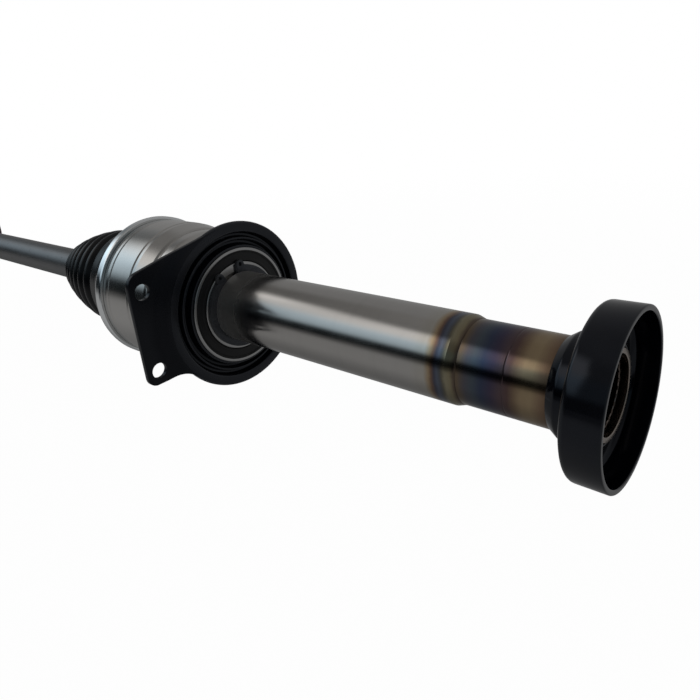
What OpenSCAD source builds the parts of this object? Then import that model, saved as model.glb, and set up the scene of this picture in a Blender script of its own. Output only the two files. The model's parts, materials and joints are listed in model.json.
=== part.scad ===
// Front drive shaft with a centre bearing, a plunging tripod joint, an axle bar
// and an outer ball joint. The origin is the centre of the sleeve's mouth; the
// shaft lies along X, the sleeve opens towards +X and the stub axle ends at -X.

/* [Shaft tube] */
// Outer diameter of the shaft tube, also the bearing's bore
tube_d = 45; // [44:0.5:46]
// Bore of the shaft tube
tube_bore_d = 34; // [28:1:36]
// Length of the shaft tube
tube_length = 161; // [120:1:220]
// Length of the chamfer at the tube's sleeve end
tube_chamfer = 4.4; // [2:0.2:6]
// Radius of the weld undercut round the tube's ends
weld_groove = 0.5; // [0.2:0.1:0.8]

/* [Splined sleeve] */
// Outer diameter of the sleeve
sleeve_d = 41.8; // [40.5:0.1:43]
// Length of the splined sleeve
sleeve_length = 40.5; // [36:0.5:60]
// Length of the plain neck between sleeve and tube
neck_length = 23; // [14:1:40]
// Bore of the plain neck
neck_bore_d = 26; // [20:1:30]
// Thickness of the web that closes the neck
neck_web = 6; // [4:1:9]
// Diameter of the plain pilot at the sleeve's mouth
pilot_d = 35; // [33:0.5:36]
// Length of the plain pilot
pilot_length = 4; // [3:0.5:6]
// Number of internal spline teeth
spline_teeth = 30; // [24:1:36]
// Radial depth of the internal spline
spline_depth = 1.3; // [0.8:0.1:1.6]
// Length of the internal spline
spline_length = 28; // [20:1:30]

/* [Deflector cup] */
// Outer diameter at the cup's rim
cup_d = 78.4; // [72:0.2:86]
// Thickness of the cup's wall
cup_wall = 2.8; // [2:0.1:3.4]
// Distance that the rim stands in front of the sleeve's mouth
cup_rim_reach = 7.6; // [4:0.2:12]
// Depth of the cup from rim to back corner
cup_depth = 15.6; // [12:0.2:20]
// Amount that the cup's wall narrows towards the back, on the diameter
cup_taper = 2.4; // [0:0.2:4]
// Outer diameter of the cup's neck
cup_neck_d = 48.4; // [46.5:0.2:52]
// Length of the cup's neck behind the back corner
cup_neck_length = 13; // [10:0.5:18]

/* [Centre bearing] */
// Outer diameter of the bearing
bearing_od = 75; // [74:0.5:76]
// Width of the bearing
bearing_width = 16; // [15.5:0.25:17]
// Ball diameter of the bearing
bearing_ball_d = 8.7; // [8.2:0.1:8.9]
// Number of bearing balls
bearing_ball_count = 12; // [9:1:14]
// Thickness of each bearing seal
seal_thickness = 1.2; // [0.8:0.1:1.6]
// Radial clearance between balls and raceways
raceway_gap = 0.05; // [0.02:0.01:0.08]
// Radial clearance of a pressed or sliding seat
seat_gap = 0.02; // [0.01:0.01:0.04]
// Radial thickness of the snap ring in front of the bearing
snap_ring_width = 4.2; // [3.2:0.1:4.4]
// Thickness of the snap ring
snap_ring_thickness = 1.85; // [1.5:0.05:2]

/* [Carrier bracket] */
// Outer diameter of the bracket's ring
ring_d = 108; // [106:0.4:112]
// Depth of the channel pressed into the ring
ring_channel = 5; // [4:0.5:8]
// Thickness of the bracket's plate
plate_thickness = 3.2; // [2.5:0.1:4]
// Distance from the shaft's axis to the line of the bolt holes
bolt_offset = 64.8; // [63.8:0.2:70]
// Distance between the two bolt holes
bolt_spacing = 49.2; // [46:0.2:52]
// Height of the middle of the bolt holes above the axis
bolt_mid_height = 4.8; // [2:0.2:7]
// Diameter of the bolt holes
bolt_hole_d = 9.4; // [8.4:0.2:10.6]
// Corner radius of the ear round each bolt hole
ear_corner_r = 8.2; // [7.6:0.1:9]

/* [Tripod joint] */
// Outer diameter of the tripod housing
housing_d = 98.4; // [97:0.2:102]
// Distance from the bearing's front face to the joint's centre
joint_offset = 68; // [68:0.5:74]
// Distance from the joint's centre to the housing's mouth
mouth_reach = 27.5; // [24:0.5:32]
// Bore of the housing between the roller tracks
housing_bore_d = 57; // [55:0.5:59]
// Distance from the joint's centre to each roller's centre
roller_pitch = 31; // [30.6:0.1:31.2]
// Outer diameter of the rollers
roller_d = 40; // [38.5:0.5:40.5]
// Height of the rollers along their own axis
roller_height = 14; // [13:0.5:14.5]
// Radius of the rollers' crown
crown_r = 26; // [24:1:30]
// Side clearance of a roller in its track
track_gap = 0.06; // [0.03:0.01:0.1]
// Diameter of the roller needles
needle_d = 2.6; // [2.2:0.1:2.8]
// Number of needles in one roller
needle_count = 30; // [20:1:32]
// Diameter of the ball heads on the spider
head_d = 21; // [20:0.2:21.2]
// Radial play of a ball head in its roller
head_play = 0.75; // [0.7:0.05:0.85]
// Diameter of the trunnions behind their heads
trunnion_d = 15.2; // [13:0.2:15.6]
// Outer diameter of the spider's hub
hub_d = 40; // [37:0.5:40]
// Width of the spider's hub
hub_width = 24; // [20:0.5:24]

/* [Axle bar] */
// Diameter of the axle bar
bar_d = 26; // [24:0.5:26.4]
// Distance between the centres of the two joints
bar_span = 472; // [380:1:520]
// Amount that the bar's splined ends stand proud of the bar, on the diameter
bar_end_rise = 0.8; // [0.6:0.1:1]

/* [Inner boot] */
// Number of folds at the boot's small end
inner_folds = 6; // [4:1:6]
// Distance between neighbouring folds
inner_fold_pitch = 11.6; // [10.4:0.2:12.4]
// Depth of a fold
inner_fold_depth = 3.4; // [2.6:0.2:4.2]
// Radius of the folds at the inner boot's large end
inner_fold_end_r = 36; // [34.5:0.5:37]
// Wall thickness of the boots
boot_wall = 2.2; // [1.8:0.1:2.6]
// Width of the large clamp
large_clamp_width = 7; // [5:0.5:8]
// Radial thickness of the large clamp
large_clamp_thickness = 2.6; // [1.6:0.1:3]

/* [Outer boot] */
// Number of folds on the outer boot
outer_folds = 5; // [4:1:6]
// Distance between neighbouring folds of the outer boot
outer_fold_pitch = 12.4; // [11.4:0.2:13]
// Depth of a fold of the outer boot
outer_fold_depth = 6; // [4.5:0.5:6.5]
// Width of the clamps at the boots' small ends
small_clamp_width = 4; // [3:0.2:4.6]

/* [Outer joint] */
// Outer diameter of the outer joint's bell
bell_d = 97; // [96.5:0.5:102]
// Distance from the joint's centre to each ball's centre
outer_pitch = 33; // [32.6:0.1:33.2]
// Diameter of the outer joint's balls
outer_ball_d = 19; // [18:0.5:19.2]
// Extra radius of the ball grooves
groove_play = 1.5; // [1.4:0.05:1.6]
// Half width of the ball cage
cage_half_width = 13; // [12.5:0.5:14]
// Distance from the joint's centre to the face that seats on the wheel bearing
bell_depth = 50; // [48:0.5:56]
// Diameter of the shoulder that seats on the wheel bearing
stub_shoulder_d = 56; // [52:1:60]
// Diameter of the stub axle's spline
stub_spline_d = 31; // [28:0.5:33]
// Length of the stub axle's spline
stub_spline_length = 42; // [34:1:50]
// Diameter of the stub axle's threaded end
stub_thread_d = 24; // [20:1:25]
// Length of the stub axle's threaded end
stub_thread_length = 22; // [16:1:30]
// Number of teeth on the stub axle
stub_teeth = 30; // [24:1:36]

/* [Hidden] */
steps = 96;
small_steps = 48;

tube_r = tube_d / 2;
sleeve_r = sleeve_d / 2;
neck_x = -sleeve_length;
tube_x = neck_x - neck_length;
stem_nose = 9;
tube_back = tube_x - tube_length;
bearing_x = tube_back - stem_nose;
bearing_back = bearing_x - bearing_width;
joint_x = bearing_x - joint_offset;
mouth_x = joint_x - mouth_reach;
outer_x = joint_x - bar_span;

bearing_r = bearing_od / 2;
race_pitch_r = (bearing_od + tube_d) / 4 + 0.3;
race_ball_r = bearing_ball_d / 2;
inner_land_r = race_pitch_r - 1.8;
outer_land_r = race_pitch_r + 2.4;
seal_seat_r = bearing_r - 1.6;

ring_r = ring_d / 2;
ring_front = bearing_x - 1.8;
collar_r = bearing_r + 6.4;
plate_front = bearing_x - 4;
upper_hole_z = bolt_mid_height + bolt_spacing / 2;
lower_hole_z = bolt_mid_height - bolt_spacing / 2;

housing_r = housing_d / 2;
boot_seat_r = housing_r - 2.7;
track_end = bearing_x - 29.5;
dome_r = 13;
dome_x = track_end - 3.5;
head_r = head_d / 2;
ring_bore_r = head_r + head_play;
needle_r = needle_d / 2;
roller_bore_r = ring_bore_r + 2 + needle_d + 0.1;
bar_r = bar_d / 2;
bar_end_r = bar_r + bar_end_rise / 2;

inner_neck_x = joint_x - 140;
fold_start_x = inner_neck_x + 7.5;
outer_ball_r = outer_ball_d / 2;
groove_r = outer_ball_r + groove_play;
cage_inner_r = outer_pitch - 3.4;
cage_outer_r = outer_pitch + 2.5;
bell_r = bell_d / 2;
bell_mouth_x = outer_x + 14;
stub_x = outer_x - bell_depth;
stub_shoulder_r = stub_shoulder_d / 2;
outer_fold_r = bar_r + seat_gap + boot_wall + 0.3 + outer_fold_depth;
outer_fold_end_r = bell_r - 1;
outer_fold_x = bell_mouth_x + 8 + outer_fold_pitch * outer_folds;
outer_neck_x = outer_fold_x + 9;

steel = [0.66, 0.66, 0.65];
bright = [0.82, 0.83, 0.84];
black = [0.06, 0.06, 0.07];
rubber = [0.09, 0.09, 0.10];
brass = [0.62, 0.50, 0.26];

// Turns a profile of radius and distance along the shaft about the X axis.
module turned(points) {
  rotate([0, 90, 0])
    rotate_extrude($fn = steps)
      polygon(points);
}

// A tube about the X axis from x0 to x1.
module pipe_x(x0, x1, outer, inner) {
  turned([[inner, x0], [outer, x0], [outer, x1], [inner, x1]]);
}

// A plain cylinder about the X axis from x0 to x1.
module rod_x(x0, x1, radius) {
  translate([x0, 0, 0])
    rotate([0, 90, 0])
      cylinder(h = x1 - x0, r = radius, $fn = steps);
}

// Places children round the X axis at equal angles, starting on +Z.
module round_x(count, first = 0) {
  for (i = [0 : count - 1])
    rotate([first + 360 * i / count, 0, 0])
      children();
}

// A wavy boot profile: small end first, each fold a crest between two valleys.
// The crests rise by the same total at any bend; above 1 they rise early.
function fold_points(x0, pitch, r0, rise, depth, count, inset, bend = 1) = [
  for (i = [0 : count - 1])
    for (p = [[0, -depth], [0.3, -0.25], [0.5, 0], [0.7, -0.25]])
      [r0 + rise * count * (1 - pow(1 - (i + p[0]) / count, bend))
         + p[1] * (p[0] == 0 ? 1 : depth * 0.6) - inset,
       x0 + pitch * (i + p[0])]
];

module carrier_bracket() {
  color(black)
    union() {
      bracket_ring();
      bracket_ear();
    }
}

// Sloped bearing collar, pressed channel and rolled flange, as one revolved section.
module bracket_ring() {
  back = ring_front - ring_channel - 3;
  flange_back = ring_front - plate_thickness - 0.4;
  difference() {
    turned([
      [bearing_r - 3, bearing_back - 3], [collar_r - 1, bearing_back - 3],
      [collar_r, bearing_back - 1.4], [collar_r, back],
      [ring_r - 6, back], [ring_r - 3, flange_back],
      [ring_r - 0.8, flange_back], [ring_r, flange_back + 0.8],
      [ring_r, ring_front - 1.9], [ring_r - 0.6, ring_front - 0.7],
      [ring_r - 1.9, ring_front], [ring_r - 5.6, ring_front],
      [ring_r - 6.6, ring_front - 0.6], [ring_r - 7.1, ring_front - 1.8],
      [ring_r - 7.4, ring_front - ring_channel + 0.6],
      [collar_r + 0.9, ring_front - ring_channel],
      [collar_r + 0.2, ring_front - ring_channel + 0.8],
      [collar_r, bearing_x - 4.2], [collar_r - 0.4, bearing_x - 3.5],
      [collar_r - 1.2, bearing_x - 3.3], [bearing_r + 1.8, bearing_x - 1.6],
      [bearing_r + 0.8, bearing_x - 0.8], [bearing_r - 3, bearing_x - 0.8]]);
    rod_x(bearing_back - seat_gap, bearing_x + 5, bearing_r + seat_gap);
  }
}

// Flat ear with both bolt holes, joined to the ring by a tangent upper edge.
module bracket_ear() {
  upper_angle = 100;
  fillet_r = 16;
  edge_y = -bolt_offset - ear_corner_r;
  low_z = lower_hole_z - ear_corner_r - 0.3;
  fillet_z = low_z - fillet_r + 0.4;
  fillet_y = sqrt(pow(ring_r - 0.4 + fillet_r, 2) - pow(fillet_z, 2));
  translate([plate_front - plate_thickness, 0, 0])
    rotate([90, 0, 90])
      linear_extrude(height = plate_thickness)
        difference() {
          union() {
            translate([-bolt_offset, upper_hole_z])
              circle(r = ear_corner_r, $fn = small_steps);
            translate([-bolt_offset, lower_hole_z])
              circle(r = ear_corner_r, $fn = small_steps);
            polygon([
              [edge_y, upper_hole_z], [edge_y, lower_hole_z],
              [-bolt_offset, lower_hole_z - ear_corner_r],
              [-bolt_offset + 6, low_z], [-fillet_y, low_z],
              [-fillet_y, low_z - 4], [-ring_r * 0.765, -ring_r * 0.66],
              [-ring_r * 0.6, -ring_r * 0.5],
              [-ring_r * 0.4, 0], [-ring_r * 0.3, ring_r * 0.8],
              [ring_r * 0.98 * cos(upper_angle), ring_r * 0.98 * sin(upper_angle)],
              [-bolt_offset + ear_corner_r * cos(upper_angle),
               upper_hole_z + 3.2 + ear_corner_r * sin(upper_angle)],
              [-bolt_offset - 4.6, upper_hole_z + ear_corner_r + 1.6],
              [-bolt_offset - 7.2, upper_hole_z + 5.6]]);
          }
          circle(r = ring_r - 4, $fn = steps);
          translate([-fillet_y, fillet_z])
            circle(r = fillet_r, $fn = small_steps);
          for (z = [upper_hole_z, lower_hole_z])
            translate([-bolt_offset, z])
              circle(d = bolt_hole_d, $fn = small_steps);
        }
}

module bearing_outer_race() {
  color(bright)
    difference() {
      turned([
        [outer_land_r, bearing_back + 2.2], [seal_seat_r, bearing_back + 2.2],
        [seal_seat_r, bearing_back], [bearing_r - 0.6, bearing_back],
        [bearing_r, bearing_back + 0.6], [bearing_r, bearing_x - 0.6],
        [bearing_r - 0.6, bearing_x], [seal_seat_r, bearing_x],
        [seal_seat_r, bearing_x - 2.2], [outer_land_r, bearing_x - 2.2]]);
      raceway(race_ball_r + raceway_gap);
    }
}

// The groove that the balls roll in.
module raceway(radius) {
  translate([bearing_x - bearing_width / 2, 0, 0])
    rotate([0, 90, 0])
      rotate_extrude($fn = steps)
        translate([race_pitch_r, 0])
          circle(r = radius, $fn = small_steps);
}

module bearing_inner_race() {
  color(bright)
    difference() {
      turned([
        [tube_r, bearing_back + 0.5], [tube_r + 0.5, bearing_back],
        [inner_land_r - 0.4, bearing_back], [inner_land_r, bearing_back + 0.4],
        [inner_land_r, bearing_x - 0.4], [inner_land_r - 0.4, bearing_x],
        [tube_r + 0.5, bearing_x], [tube_r, bearing_x - 0.5]]);
      raceway(race_ball_r + raceway_gap);
    }
}

module bearing_seal_front() {
  color(rubber)
    bearing_seal(bearing_x - 0.3 - seal_thickness, bearing_x - 0.3);
}

module bearing_seal_rear() {
  color(rubber)
    bearing_seal(bearing_back + 0.3, bearing_back + 0.3 + seal_thickness);
}

// A flat seal with a shallow ring groove, held in the outer race.
module bearing_seal(x0, x1) {
  turned([
    [inner_land_r + 0.05, x0], [seal_seat_r - seat_gap, x0],
    [seal_seat_r - seat_gap, x1], [seal_seat_r - 1.4, x1],
    [seal_seat_r - 1.8, x1 - 0.3], [inner_land_r + 2.4, x1 - 0.3],
    [inner_land_r + 2, x1], [inner_land_r + 0.05, x1]]);
}

module bearing_balls() {
  color(bright)
    round_x(bearing_ball_count)
      translate([bearing_x - bearing_width / 2, 0, race_pitch_r])
        sphere(r = race_ball_r, $fn = small_steps);
}

module bearing_cage() {
  mid = bearing_x - bearing_width / 2;
  color(brass)
    difference() {
      pipe_x(mid - race_ball_r - 0.6, mid + race_ball_r + 0.6,
        race_pitch_r + 1.4, race_pitch_r - 1);
      round_x(bearing_ball_count)
        translate([mid, 0, race_pitch_r])
          sphere(r = race_ball_r + 0.12, $fn = small_steps);
    }
}

// Open ring with two drilled lugs beside its gap.
module bearing_snap_ring() {
  gap_angle = 105;
  half_gap = 18.5;
  lug_r = tube_r + snap_ring_width + 0.5;
  color(black)
    translate([bearing_x + 0.03, 0, 0])
      rotate([90, 0, 90])
        linear_extrude(height = snap_ring_thickness)
          difference() {
            union() {
              circle(r = tube_r + snap_ring_width, $fn = steps);
              for (a = [gap_angle - half_gap, gap_angle + half_gap])
                rotate(a)
                  translate([lug_r, 0])
                    circle(r = 3.1, $fn = small_steps);
            }
            circle(r = tube_r - 1.2, $fn = steps);
            rotate(gap_angle)
              polygon([[0, 0], [40, -40 * tan(half_gap - 6.5)],
                [40, 40 * tan(half_gap - 6.5)]]);
            for (a = [gap_angle - half_gap, gap_angle + half_gap])
              rotate(a)
                translate([lug_r + 0.4, 0])
                  circle(r = 1.2, $fn = small_steps);
          }
}

module shaft_tube() {
  color(steel)
    turned([
      [tube_bore_d / 2, tube_back], [tube_r - weld_groove - 0.1, tube_back],
      [tube_r - 0.1, tube_back + weld_groove],
      [tube_r - 0.1, tube_x - tube_chamfer], [sleeve_r + 0.1, tube_x],
      [tube_bore_d / 2, tube_x]]);
}

module sleeve_neck() {
  color(steel)
    difference() {
      turned([
        [0, tube_x], [sleeve_r, tube_x], [sleeve_r, neck_x - weld_groove],
        [sleeve_r - weld_groove, neck_x], [0, neck_x]]);
      rod_x(tube_x + neck_web, neck_x + 1, neck_bore_d / 2);
      rod_x(tube_x - 1, tube_x + 1.5, neck_bore_d / 2 - 2);
    }
}

module splined_sleeve() {
  pilot_r = pilot_d / 2;
  root_r = pilot_r - 0.4;
  relief_x = -pilot_length - spline_length;
  color(steel)
    difference() {
      turned([
        [pilot_r - spline_depth - 0.6, neck_x], [sleeve_r - weld_groove, neck_x],
        [sleeve_r, neck_x + weld_groove], [sleeve_r, -1],
        [sleeve_r - 0.9, 0], [pilot_r - spline_depth - 0.6, 0]]);
      translate([-pilot_length, 0, 0])
        rod_x(0, pilot_length + 1, pilot_r);
      rod_x(neck_x - 1, relief_x, pilot_r - 0.2);
      translate([relief_x - 0.5, 0, 0])
        rotate([90, 0, 90])
          linear_extrude(height = spline_length + 1)
            spline_hole(root_r, spline_depth, spline_teeth);
    }
}

// Bore with straight-sided tooth spaces cut outwards to the root radius.
module spline_hole(root_r, depth, teeth) {
  tip_r = root_r - depth;
  space = 180 * 1.05 * tip_r / teeth / 57.3;
  circle(r = tip_r, $fn = steps);
  for (i = [0 : teeth - 1])
    rotate(360 * i / teeth)
      polygon([[tip_r - 1, -space / 2], [root_r, -space / 3],
        [root_r, space / 3], [tip_r - 1, space / 2]]);
}

module deflector_cup() {
  rim_r = cup_d / 2;
  back_r = rim_r - cup_taper / 2;
  back_x = cup_rim_reach - cup_depth;
  floor_x = back_x + 2.2;
  neck_r = cup_neck_d / 2;
  tail_x = back_x - cup_neck_length;
  color(black)
    turned([
      [sleeve_r + seat_gap, tail_x], [sleeve_r + 0.4, tail_x],
      [neck_r - 0.6, tail_x + 3.4], [neck_r, tail_x + 4.2],
      [neck_r, back_x - 3], [neck_r + 1, back_x - 1.6],
      [back_r - 2.4, back_x - 1.2], [back_r - 0.9, back_x - 0.6],
      [back_r, back_x + 0.6], [rim_r - 0.2, cup_rim_reach - 1.4],
      [rim_r - 0.4, cup_rim_reach - 0.5], [rim_r - 1, cup_rim_reach],
      [rim_r - cup_wall + 0.5, cup_rim_reach],
      [rim_r - cup_wall, cup_rim_reach - 0.5],
      [rim_r - cup_wall - 0.5, floor_x + 3],
      [rim_r - cup_wall - 2.4, floor_x + 0.6],
      [rim_r - cup_wall - 4, floor_x], [neck_r - 0.4, floor_x],
      [neck_r - 0.8, -2.2], [neck_r - 1.4, -1.6],
      [sleeve_r + 1.3, -1.6], [sleeve_r + seat_gap, -2.8]]);
}

// Housing with three roller tracks, friction-welded stem and bearing seat.
module tripod_housing() {
  wall_x = dome_x;
  color(bright)
    difference() {
      union() {
        turned([
          [0, mouth_x], [boot_seat_r - 0.8, mouth_x],
          [boot_seat_r, mouth_x + 0.8], [boot_seat_r, mouth_x + 8.5],
          [housing_r - 0.5, mouth_x + 8.5], [housing_r - 0.5, mouth_x + 14.2],
          [housing_r - 1.3, mouth_x + 14.6], [housing_r - 1.3, mouth_x + 16.2],
          [housing_r, mouth_x + 16.8], [housing_r, mouth_x + 38.4],
          [housing_r - 0.9, mouth_x + 39.3], [housing_r - 0.2, mouth_x + 40.2],
          [housing_r - 0.2, mouth_x + 43], [housing_r - 2.4, mouth_x + 54],
          [housing_r - 3.6, mouth_x + 54.8], [housing_r - 4, mouth_x + 56.6],
          [housing_r - 3.4, mouth_x + 57.4], [housing_r - 3.4, wall_x],
          [housing_r - 3.4 - dome_r, wall_x + dome_r], [0, wall_x + dome_r]]);
        translate([wall_x, 0, 0])
          rotate([0, 90, 0])
            rotate_extrude($fn = steps)
              intersection() {
                translate([housing_r - 3.4 - dome_r, 0])
                  circle(r = dome_r, $fn = small_steps);
                translate([housing_r - 3.4 - dome_r, 0])
                  square([dome_r, dome_r]);
              }
        turned([
          [0, bearing_back - 8], [tube_r + 6.5, bearing_back - 8],
          [tube_r + 4.5, bearing_back - 4], [tube_r + 4.5, bearing_back - 0.6],
          [tube_r + 3.9, bearing_back - 0.05],
          [tube_r - seat_gap, bearing_back - 0.05],
          [tube_r - seat_gap, bearing_x + 0.02], [tube_r - 1.4, bearing_x + 0.02],
          [tube_r - 1.4, bearing_x + snap_ring_thickness + 0.05],
          [tube_r - seat_gap, bearing_x + snap_ring_thickness + 0.05],
          [tube_r - seat_gap, tube_back - weld_groove],
          [tube_r - weld_groove - 0.1, tube_back], [0, tube_back]]);
      }
      turned([
        [0, mouth_x - 1], [housing_bore_d / 2 + 3.6, mouth_x - 1],
        [housing_bore_d / 2, mouth_x + 3], [housing_bore_d / 2, track_end - 4],
        [housing_bore_d / 2 - 8, track_end], [0, track_end]]);
      round_x(3)
        translate([mouth_x - 1, 0, 0])
          rotate([90, 0, 90])
            linear_extrude(height = track_end - mouth_x + 1)
              track_section(track_gap);
      rod_x(bearing_x - 6, tube_back + 1, 11);
    }
}

// Cross-section of one roller track, with its roller's centre on the second axis.
module track_section(gap) {
  side = crown_r - roller_d / 2;
  intersection() {
    translate([-side, roller_pitch])
      circle(r = crown_r + gap, $fn = steps);
    translate([side, roller_pitch])
      circle(r = crown_r + gap, $fn = steps);
    translate([-roller_d, roller_pitch - 9])
      square([2 * roller_d, 10 + roller_height / 2]);
  }
}

// One crowned roller with its axis along Z, at the joint's centre height.
module roller_body() {
  side = crown_r - roller_d / 2;
  translate([joint_x, 0, roller_pitch])
    rotate_extrude($fn = steps)
      intersection() {
        translate([-side, 0])
          circle(r = crown_r, $fn = steps);
        translate([roller_bore_r, -roller_height / 2])
          square([roller_d, roller_height]);
      }
}

module needle_set() {
  for (i = [0 : needle_count - 1])
    translate([joint_x, 0, roller_pitch - roller_height / 2 + 1])
      rotate([0, 0, 360 * i / needle_count])
        translate([roller_bore_r - needle_r - 0.05, 0, 0])
          cylinder(h = roller_height - 2, r = needle_r, $fn = 24);
}

module roller_ring() {
  translate([joint_x, 0, roller_pitch - roller_height / 2])
    difference() {
      cylinder(h = roller_height, r = ring_bore_r + 2, $fn = small_steps);
      translate([0, 0, -1])
        cylinder(h = roller_height + 2, r = ring_bore_r, $fn = small_steps);
    }
}

module roller_1() {
  color(steel)
    roller_body();
}

module roller_needles_1() {
  color(bright)
    needle_set();
}

module roller_ring_1() {
  color(steel)
    roller_ring();
}

module roller_2() {
  color(steel)
    rotate([120, 0, 0])
      roller_body();
}

module roller_needles_2() {
  color(bright)
    rotate([120, 0, 0])
      needle_set();
}

module roller_ring_2() {
  color(steel)
    rotate([120, 0, 0])
      roller_ring();
}

module roller_3() {
  color(steel)
    rotate([240, 0, 0])
      roller_body();
}

module roller_needles_3() {
  color(bright)
    rotate([240, 0, 0])
      needle_set();
}

module roller_ring_3() {
  color(steel)
    rotate([240, 0, 0])
      roller_ring();
}

module tripod_spider() {
  color(steel)
    difference() {
      union() {
        turned([
          [0, joint_x - hub_width / 2], [hub_d / 2 - 1.5, joint_x - hub_width / 2],
          [hub_d / 2, joint_x - hub_width / 2 + 1.5],
          [hub_d / 2, joint_x + hub_width / 2 - 1.5],
          [hub_d / 2 - 1.5, joint_x + hub_width / 2],
          [0, joint_x + hub_width / 2]]);
        round_x(3)
          translate([joint_x, 0, 0])
            union() {
              cylinder(h = roller_pitch, r = trunnion_d / 2, $fn = small_steps);
              intersection() {
                translate([0, 0, roller_pitch])
                  sphere(r = head_r, $fn = small_steps);
                translate([0, 0, roller_pitch - head_r])
                  cylinder(h = head_r + roller_height / 2 - 0.1, r = head_r + 1,
                    $fn = small_steps);
              }
            }
      }
      rod_x(joint_x - hub_width, joint_x + hub_width, bar_end_r + seat_gap);
    }
}

module spider_circlip() {
  x0 = joint_x + hub_width / 2 + 0.05;
  color(black)
    open_ring(x0, x0 + 1.6, bar_end_r + 3, bar_end_r - 1);
}

// A snap ring about the X axis with a gap on its lower side.
module open_ring(x0, x1, outer, inner) {
  difference() {
    pipe_x(x0, x1, outer, inner);
    translate([x0 - 1, -2, -outer - 1])
      cube([x1 - x0 + 2, 4, outer]);
  }
}

module axle_bar() {
  inner_end = joint_x + hub_width / 2 + 4;
  clip_x = joint_x + hub_width / 2;
  star_end = outer_x - cage_half_width;
  color(steel)
    difference() {
      turned([
        [0, star_end - 3], [bar_end_r - 1, star_end - 3],
        [bar_end_r, star_end - 2], [bar_end_r, outer_x + 20],
        [bar_r, outer_x + 24], [bar_r, joint_x - 24], [bar_end_r, joint_x - 20],
        [bar_end_r, clip_x], [bar_end_r - 1.2, clip_x],
        [bar_end_r - 1.2, clip_x + 1.7], [bar_end_r, clip_x + 1.7],
        [bar_end_r, inner_end - 1], [bar_end_r - 1, inner_end],
        [0, inner_end]]);
      pipe_x(star_end + 3, star_end + 4.6, bar_end_r + 1, bar_end_r - 1);
    }
}

// Inner boot: large collar, smooth flare, tight folds and small collar.
module inner_boot() {
  fold_r = bar_r + seat_gap + 3.1 + inner_fold_depth;
  fold_rise = (inner_fold_end_r - fold_r) / inner_folds;
  bend = 1.6;
  flare_x = fold_start_x + inner_fold_pitch * inner_folds;
  flare = mouth_x - flare_x;
  flare_r = inner_fold_end_r - inner_fold_depth + 1;
  outer = concat(
    [[bar_r + seat_gap + 2.6, inner_neck_x], [bar_r + seat_gap + 2.6, inner_neck_x + 6.5]],
    fold_points(fold_start_x, inner_fold_pitch, fold_r, fold_rise,
      inner_fold_depth, inner_folds, 0, bend),
    [[flare_r, flare_x], [inner_fold_end_r + 0.8, flare_x + flare * 0.13],
     [inner_fold_end_r + 2.3, flare_x + flare * 0.33],
     [inner_fold_end_r + 4.8, flare_x + flare * 0.56],
     [inner_fold_end_r + 8.6, flare_x + flare * 0.77], [boot_seat_r + 1.6, mouth_x - 2.4],
     [boot_seat_r + 1.9, mouth_x - 1],
     [boot_seat_r + 1.9, mouth_x + 8.3]]);
  inner = concat(
    [[bar_r + seat_gap, inner_neck_x], [bar_r + seat_gap, inner_neck_x + 7]],
    fold_points(fold_start_x, inner_fold_pitch, fold_r, fold_rise,
      inner_fold_depth, inner_folds, boot_wall, bend),
    [[flare_r - boot_wall, flare_x],
     [inner_fold_end_r + 0.8 - boot_wall, flare_x + flare * 0.13 + 0.5],
     [inner_fold_end_r + 2.3 - boot_wall, flare_x + flare * 0.33 + 0.6],
     [inner_fold_end_r + 4.8 - boot_wall, flare_x + flare * 0.56 + 0.6],
     [inner_fold_end_r + 8.6 - boot_wall, flare_x + flare * 0.77 + 0.6],
     [boot_seat_r - 0.8, mouth_x - 3], [boot_seat_r - 0.8, mouth_x - 0.3],
     [boot_seat_r + seat_gap, mouth_x - 0.3],
     [boot_seat_r + seat_gap, mouth_x + 8.3]]);
  color(rubber)
    turned(concat(outer, [for (i = [len(inner) - 1 : -1 : 0]) inner[i]]));
}

module inner_clamp_large() {
  inner = boot_seat_r + 1.9 + seat_gap;
  x0 = mouth_x + 1.2;
  color(bright)
    turned([
      [inner, x0], [inner + large_clamp_thickness - 0.7, x0],
      [inner + large_clamp_thickness, x0 + 0.9],
      [inner + large_clamp_thickness, x0 + large_clamp_width - 0.9],
      [inner + large_clamp_thickness - 0.7, x0 + large_clamp_width],
      [inner, x0 + large_clamp_width]]);
}

module inner_clamp_small() {
  color(steel)
    pipe_x(inner_neck_x + 1.2, inner_neck_x + 1.2 + small_clamp_width, bar_r + 4.2,
      bar_r + 2.6 + 2 * seat_gap);
}

module outer_inner_race() {
  color(steel)
    difference() {
      intersection() {
        translate([outer_x, 0, 0])
          rotate([0, 90, 0])
            sphere(r = cage_inner_r - 0.1, $fn = steps);
        rod_x(outer_x - cage_half_width + 0.5, outer_x + cage_half_width - 0.5, 40);
      }
      rod_x(outer_x - 20, outer_x + 20, bar_end_r + seat_gap);
      ball_grooves(-34, 34);
    }
}

// Six separate groove segments, from first_angle to last_angle of the ball plane.
module ball_grooves(first_angle, last_angle) {
  translate([outer_x, 0, 0])
    round_x(6)
      rotate([90, 0, 0])
        rotate([0, 0, 90 - last_angle])
          rotate_extrude(angle = last_angle - first_angle, $fn = steps)
            translate([outer_pitch, 0])
              circle(r = groove_r, $fn = small_steps);
}

module inner_race_circlip() {
  x0 = outer_x - cage_half_width + 3.1;
  color(black)
    open_ring(x0, x0 + 1.4, bar_end_r - 0.05, bar_end_r - 0.95);
}

module outer_balls() {
  color(bright)
    round_x(6)
      translate([outer_x, 0, outer_pitch])
        sphere(r = outer_ball_r, $fn = small_steps);
}

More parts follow.
